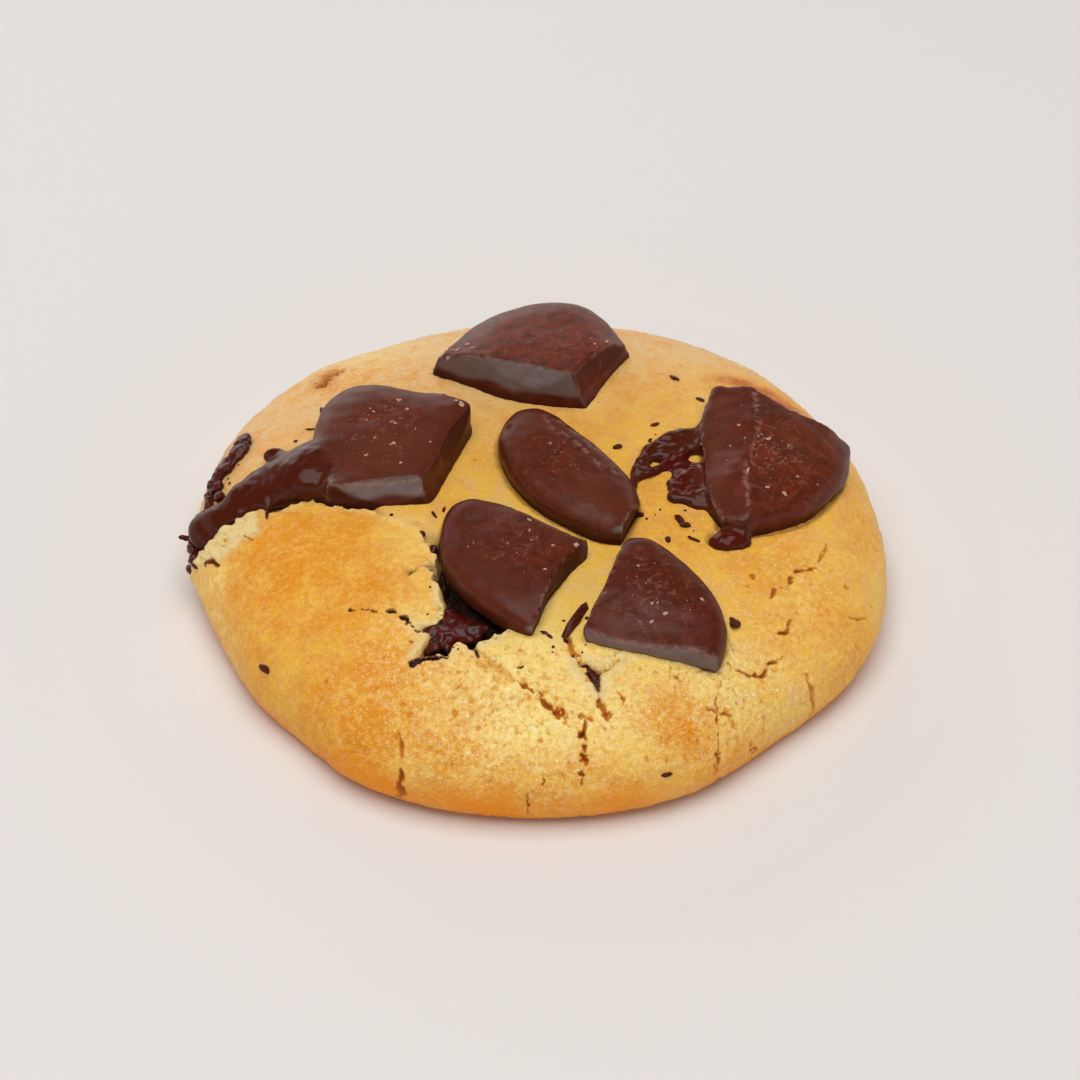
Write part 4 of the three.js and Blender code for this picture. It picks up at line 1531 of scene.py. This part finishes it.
def studio_sky(colour):
    """Soft light from all round: strong from low down, weak from above. Height is 0 on a
    level with the cookie and 1 straight above it."""
    world = bpy.data.worlds.new("studio")
    world.use_nodes = True
    tree = world.node_tree
    direction = add_node(tree, "ShaderNodeTexCoord").outputs["Generated"]
    height = add_node(tree, "ShaderNodeSeparateXYZ", {0: direction}).outputs["Z"]
    strength = add_node(tree, "ShaderNodeMapRange", {
        "Value": height, "From Min": 0.1, "From Max": 0.62, "To Min": 1.2, "To Max": 0.14,
    }, interpolation_type="SMOOTHSTEP").outputs[0]
    tree.nodes["Background"].inputs["Color"].default_value = colour
    tree.links.new(strength, tree.nodes["Background"].inputs["Strength"])
    return world


# --- Settings --------------------------------------------------------------------


def size_property(name, description, default):
    """A length in metres."""
    return bpy.props.FloatProperty(
        name=name, description=description, default=default, unit="LENGTH", min=0)


def colour_property(name, description, default):
    """A colour whose default is an sRGB hex value."""
    return bpy.props.FloatVectorProperty(
        name=name, description=description, default=linear(default), subtype="COLOR", size=4,
        min=0, max=1)


class CookieDoughSettings(bpy.types.PropertyGroup):
    """Form of the dough."""

    radius: size_property("Radius", "Mean radius at the widest level", 0.0447)
    foot_radius: size_property("Foot radius", "Radius of the flat underside", 0.0406)
    widest_level: size_property("Widest level", "Height of the widest level", 0.0044)
    rise: size_property("Rise", "From the widest level to the top of the dome", 0.0119)
    power: bpy.props.FloatProperty(
        name="Shoulder", description="Higher is a flatter top with a rounder shoulder", default=4.4)
    grid: bpy.props.IntProperty(
        name="Grid", description="Points across the dough's skin as it is shaped", default=560, min=20)
    triangles: bpy.props.IntProperty(
        name="Triangles", description="How many triangles the skin keeps", default=188000, min=1000)


class CookieChocolateSettings(bpy.types.PropertyGroup):
    """Form of the chocolate."""

    grain: size_property("Grain", "Spacing of the points on a chunk", 0.00028)


class CookieColours(bpy.types.PropertyGroup):
    """Colours of the dough, the chocolate and the floor."""

    crust: colour_property("Crust", "Golden crust of the front", "#EDB62C")
    # Partly the back's tan, partly painted sheen
    back_crust_and_sheen: colour_property("Back crust", "Tan crust of the back", "#D9B384")
    pale_crust: colour_property("Pale crust", "Palest crust", "#F8DE84")
    toasted: colour_property("Toasted crust", "Orange-brown crust", "#E29210")
    rim: colour_property("Rim", "Browned lower edge", "#F09006")
    burnt: colour_property("Burnt spot", "Darkest crust", "#C0640A")
    # Partly pale mottling, partly painted glints
    pale_freckle_and_glint: colour_property("Pale freckle", "Fine pale mottling", "#FBEDC4")
    toasted_freckle: colour_property("Toasted freckle", "Fine darker mottling", "#DA860C")
    crumb: colour_property("Crumb", "Inside of the dough", "#E6CF92")
    cavity: colour_property("Cavity", "Hollows between the grains of the crust", "#D47C0C")
    crack: colour_property("Crack", "Shallow crack", "#AC4E06")
    # Painted shade in deep cracks and holes
    deep_crack_shade: colour_property("Deep crack", "Deep crack", "#2A0F06")
    # Chocolate stain and painted contact shade
    stain_and_contact_shade: colour_property("Rubbed dough", "Dough stained by chocolate", "#8A4E18")
    chocolate: colour_property("Chocolate", "Skin of the chunks", "#4C1804")
    reddish: colour_property("Reddish cloud", "Redder clouds of the skin", "#6E260E")
    # Partly bloom, partly painted sheen
    bloom_and_sheen: colour_property("Bloom", "Grey film on the skin", "#6A4028")
    # Partly the cut's own grey, partly painted reflection on the faces turned to the front
    cut: colour_property("Cut", "Knife-cut faces", "#756562")
    side: colour_property("Side", "Shaded sides of the chunks", "#3C1206")
    worn: colour_property("Worn skin", "Where the skin of a chunk is worn", "#8A6252")
    # Also the painted highlight along the knife's edges
    scuff: colour_property("Scuff", "Pale scuffs and specks", "#AE8878")
    melted: colour_property("Melted", "Melted chocolate", "#3C1408")
    cherry: colour_property("Cherry", "Melted chocolate with juice", "#540804")
    floor: colour_property("Floor", "Board that the cookie lies on", "#E2DDD9")
    sky: colour_property("Sky", "Soft light from all round", "#FBF7F5")


# --- Operators -------------------------------------------------------------------


class COOKIE_OT_dough(bpy.types.Operator):
    """Make the baked dough"""

    bl_idname = "cookie.dough"
    bl_label = "Dough"

    def execute(self, context):
        scene = context.scene
        material = make_material(baked_cookie_dough, scene.cookie_colours)
        add_piece("baked_dough", dough_mesh(scene.cookie_dough), material, "dough", "dough")
        return {"FINISHED"}


class COOKIE_OT_chunks(bpy.types.Operator):
    """Make the six chopped pieces of chocolate"""

    bl_idname = "cookie.chunks"
    bl_label = "Chocolate chunks"

    def execute(self, context):
        scene = context.scene
        material = make_material(tempered_dark_chocolate, scene.cookie_colours)
        for node in CHUNKS:
            mesh = chunk_mesh(node, scene.cookie_dough, scene.cookie_chocolate)
            add_piece(f"chocolate_{node}", mesh, material, "chocolate", node)
        return {"FINISHED"}


class COOKIE_OT_melted(bpy.types.Operator):
    """Make the melted filling in the hole and the melted smears on the dough"""

    bl_idname = "cookie.melted"
    bl_label = "Melted chocolate"

    def execute(self, context):
        scene = context.scene
        grain = scene.cookie_chocolate.grain
        material = make_material(melted_cherry_chocolate, scene.cookie_colours)
        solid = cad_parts["melt_front"].data
        filling = melted_mesh(scene.cookie_dough, FILLING_LOBES, grain, lumpiness=0.35, solid=solid)
        add_piece("melted_filling", filling, material, "melted_filling", "melt_front")
        smears = melted_mesh(scene.cookie_dough, MELTED_SMEARS, 0.7 * grain, lumpiness=0.28)
        add_piece("melted_smears", smears, material, "melted_filling")
        return {"FINISHED"}


class COOKIE_OT_bits(bpy.types.Operator):
    """Make the shards of chocolate, the crumbs of dough and the dust on the chunks"""

    bl_idname = "cookie.bits"
    bl_label = "Shards and crumbs"

    def execute(self, context):
        scene = context.scene
        draw = random.Random(11)
        baked = bpy.data.objects["baked_dough"].data
        chunks = [bpy.data.objects[f"chocolate_{node}"].data for node in CHUNKS]
        dough = tree_of(baked)
        everything = tree_of(baked, *chunks)
        shards = lay_flat(dough, SHARDS, thickness=0.33)
        shards += scatter(dough, SHARD_PATCHES, draw, proud=0.4)
        crumbs = scatter(dough, DOUGH_CRUMB_PATCHES, draw, proud=0.1)
        dust = lay_flat(everything, FLAKES, thickness=0.15)
        dust += scatter(everything, DUST_PATCHES, draw, proud=0.1)
        chocolate = bpy.data.materials["tempered_dark_chocolate"]
        crumb = make_material(dry_cookie_crumb, scene.cookie_colours)
        powder = make_material(dry_chocolate_dust, scene.cookie_colours)
        shards = loose_mesh("shards", shards, unevenness=0.6)
        crumbs = loose_mesh("crumbs", crumbs, unevenness=0.9, smooth=True)
        dust = loose_mesh("dust", dust, unevenness=1.3)
        add_piece("chocolate_shards", shards, chocolate, "chocolate")
        add_piece("dough_crumbs", crumbs, crumb, "dough")
        add_piece("chocolate_dust", dust, powder, "chocolate")
        return {"FINISHED"}


class COOKIE_OT_stage(bpy.types.Operator):
    """Make the floor, the soft studio light and the camera"""

    bl_idname = "cookie.stage"
    bl_label = "Stage"

    def execute(self, context):
        scene = context.scene
        side = FLOOR_SIDE / 2
        corners = [(-side, -side, 0), (side, -side, 0), (side, side, 0), (-side, side, 0)]
        floor = add_object("floor", make_mesh("floor", corners, [(0, 1, 2, 3)]))
        floor.data.materials.append(make_material(pale_satin_board, scene.cookie_colours))
        scene.world = studio_sky(scene.cookie_colours.sky)
        for name, place, width, power in LAMPS:
            lamp = bpy.data.lights.new(name, "AREA")
            lamp.size = width * MM
            lamp.energy = power
            aim(add_object(name, lamp), place, (0, 0, 0))
        view = bpy.data.cameras.new("camera")
        view.sensor_width = SENSOR_WIDTH
        view.lens = CAMERA_LENS
        view.clip_start = NEAREST_VIEW * MM
        scene.camera = add_object("camera", view)
        aim(scene.camera, CAMERA_PLACE, CAMERA_TARGET)
        scene.view_settings.view_transform = "Standard"
        return {"FINISHED"}


class COOKIE_PT_panel(bpy.types.Panel):
    """Lists the operators that make the cookie, and its settings"""

    bl_label = "Cookie"
    bl_space_type = "VIEW_3D"
    bl_region_type = "UI"
    bl_category = "Cookie"

    def draw(self, context):
        for operator in OPERATORS:
            self.layout.operator(operator.bl_idname)
        for name, group in SETTINGS.items():
            for setting in group.__annotations__:
                self.layout.prop(getattr(context.scene, name), setting)


OPERATORS = (COOKIE_OT_dough, COOKIE_OT_chunks, COOKIE_OT_melted, COOKIE_OT_bits, COOKIE_OT_stage)
SETTINGS = {
    "cookie_dough": CookieDoughSettings,
    "cookie_chocolate": CookieChocolateSettings,
    "cookie_colours": CookieColours,
}
CLASSES = (*SETTINGS.values(), *OPERATORS, COOKIE_PT_panel)


def register():
    """Registers the classes and gives each scene its settings."""
    for made in CLASSES:
        bpy.utils.register_class(made)
    for name, group in SETTINGS.items():
        setattr(bpy.types.Scene, name, bpy.props.PointerProperty(type=group))


def unregister():
    """Takes back what register did."""
    for name in SETTINGS:
        delattr(bpy.types.Scene, name)
    for made in reversed(CLASSES):
        bpy.utils.unregister_class(made)


def main():
    """Makes the cookie."""
    register()
    bpy.ops.cookie.dough()
    bpy.ops.cookie.chunks()
    bpy.ops.cookie.melted()
    bpy.ops.cookie.bits()
    bpy.ops.cookie.stage()


if __name__ == "__main__":
    main()
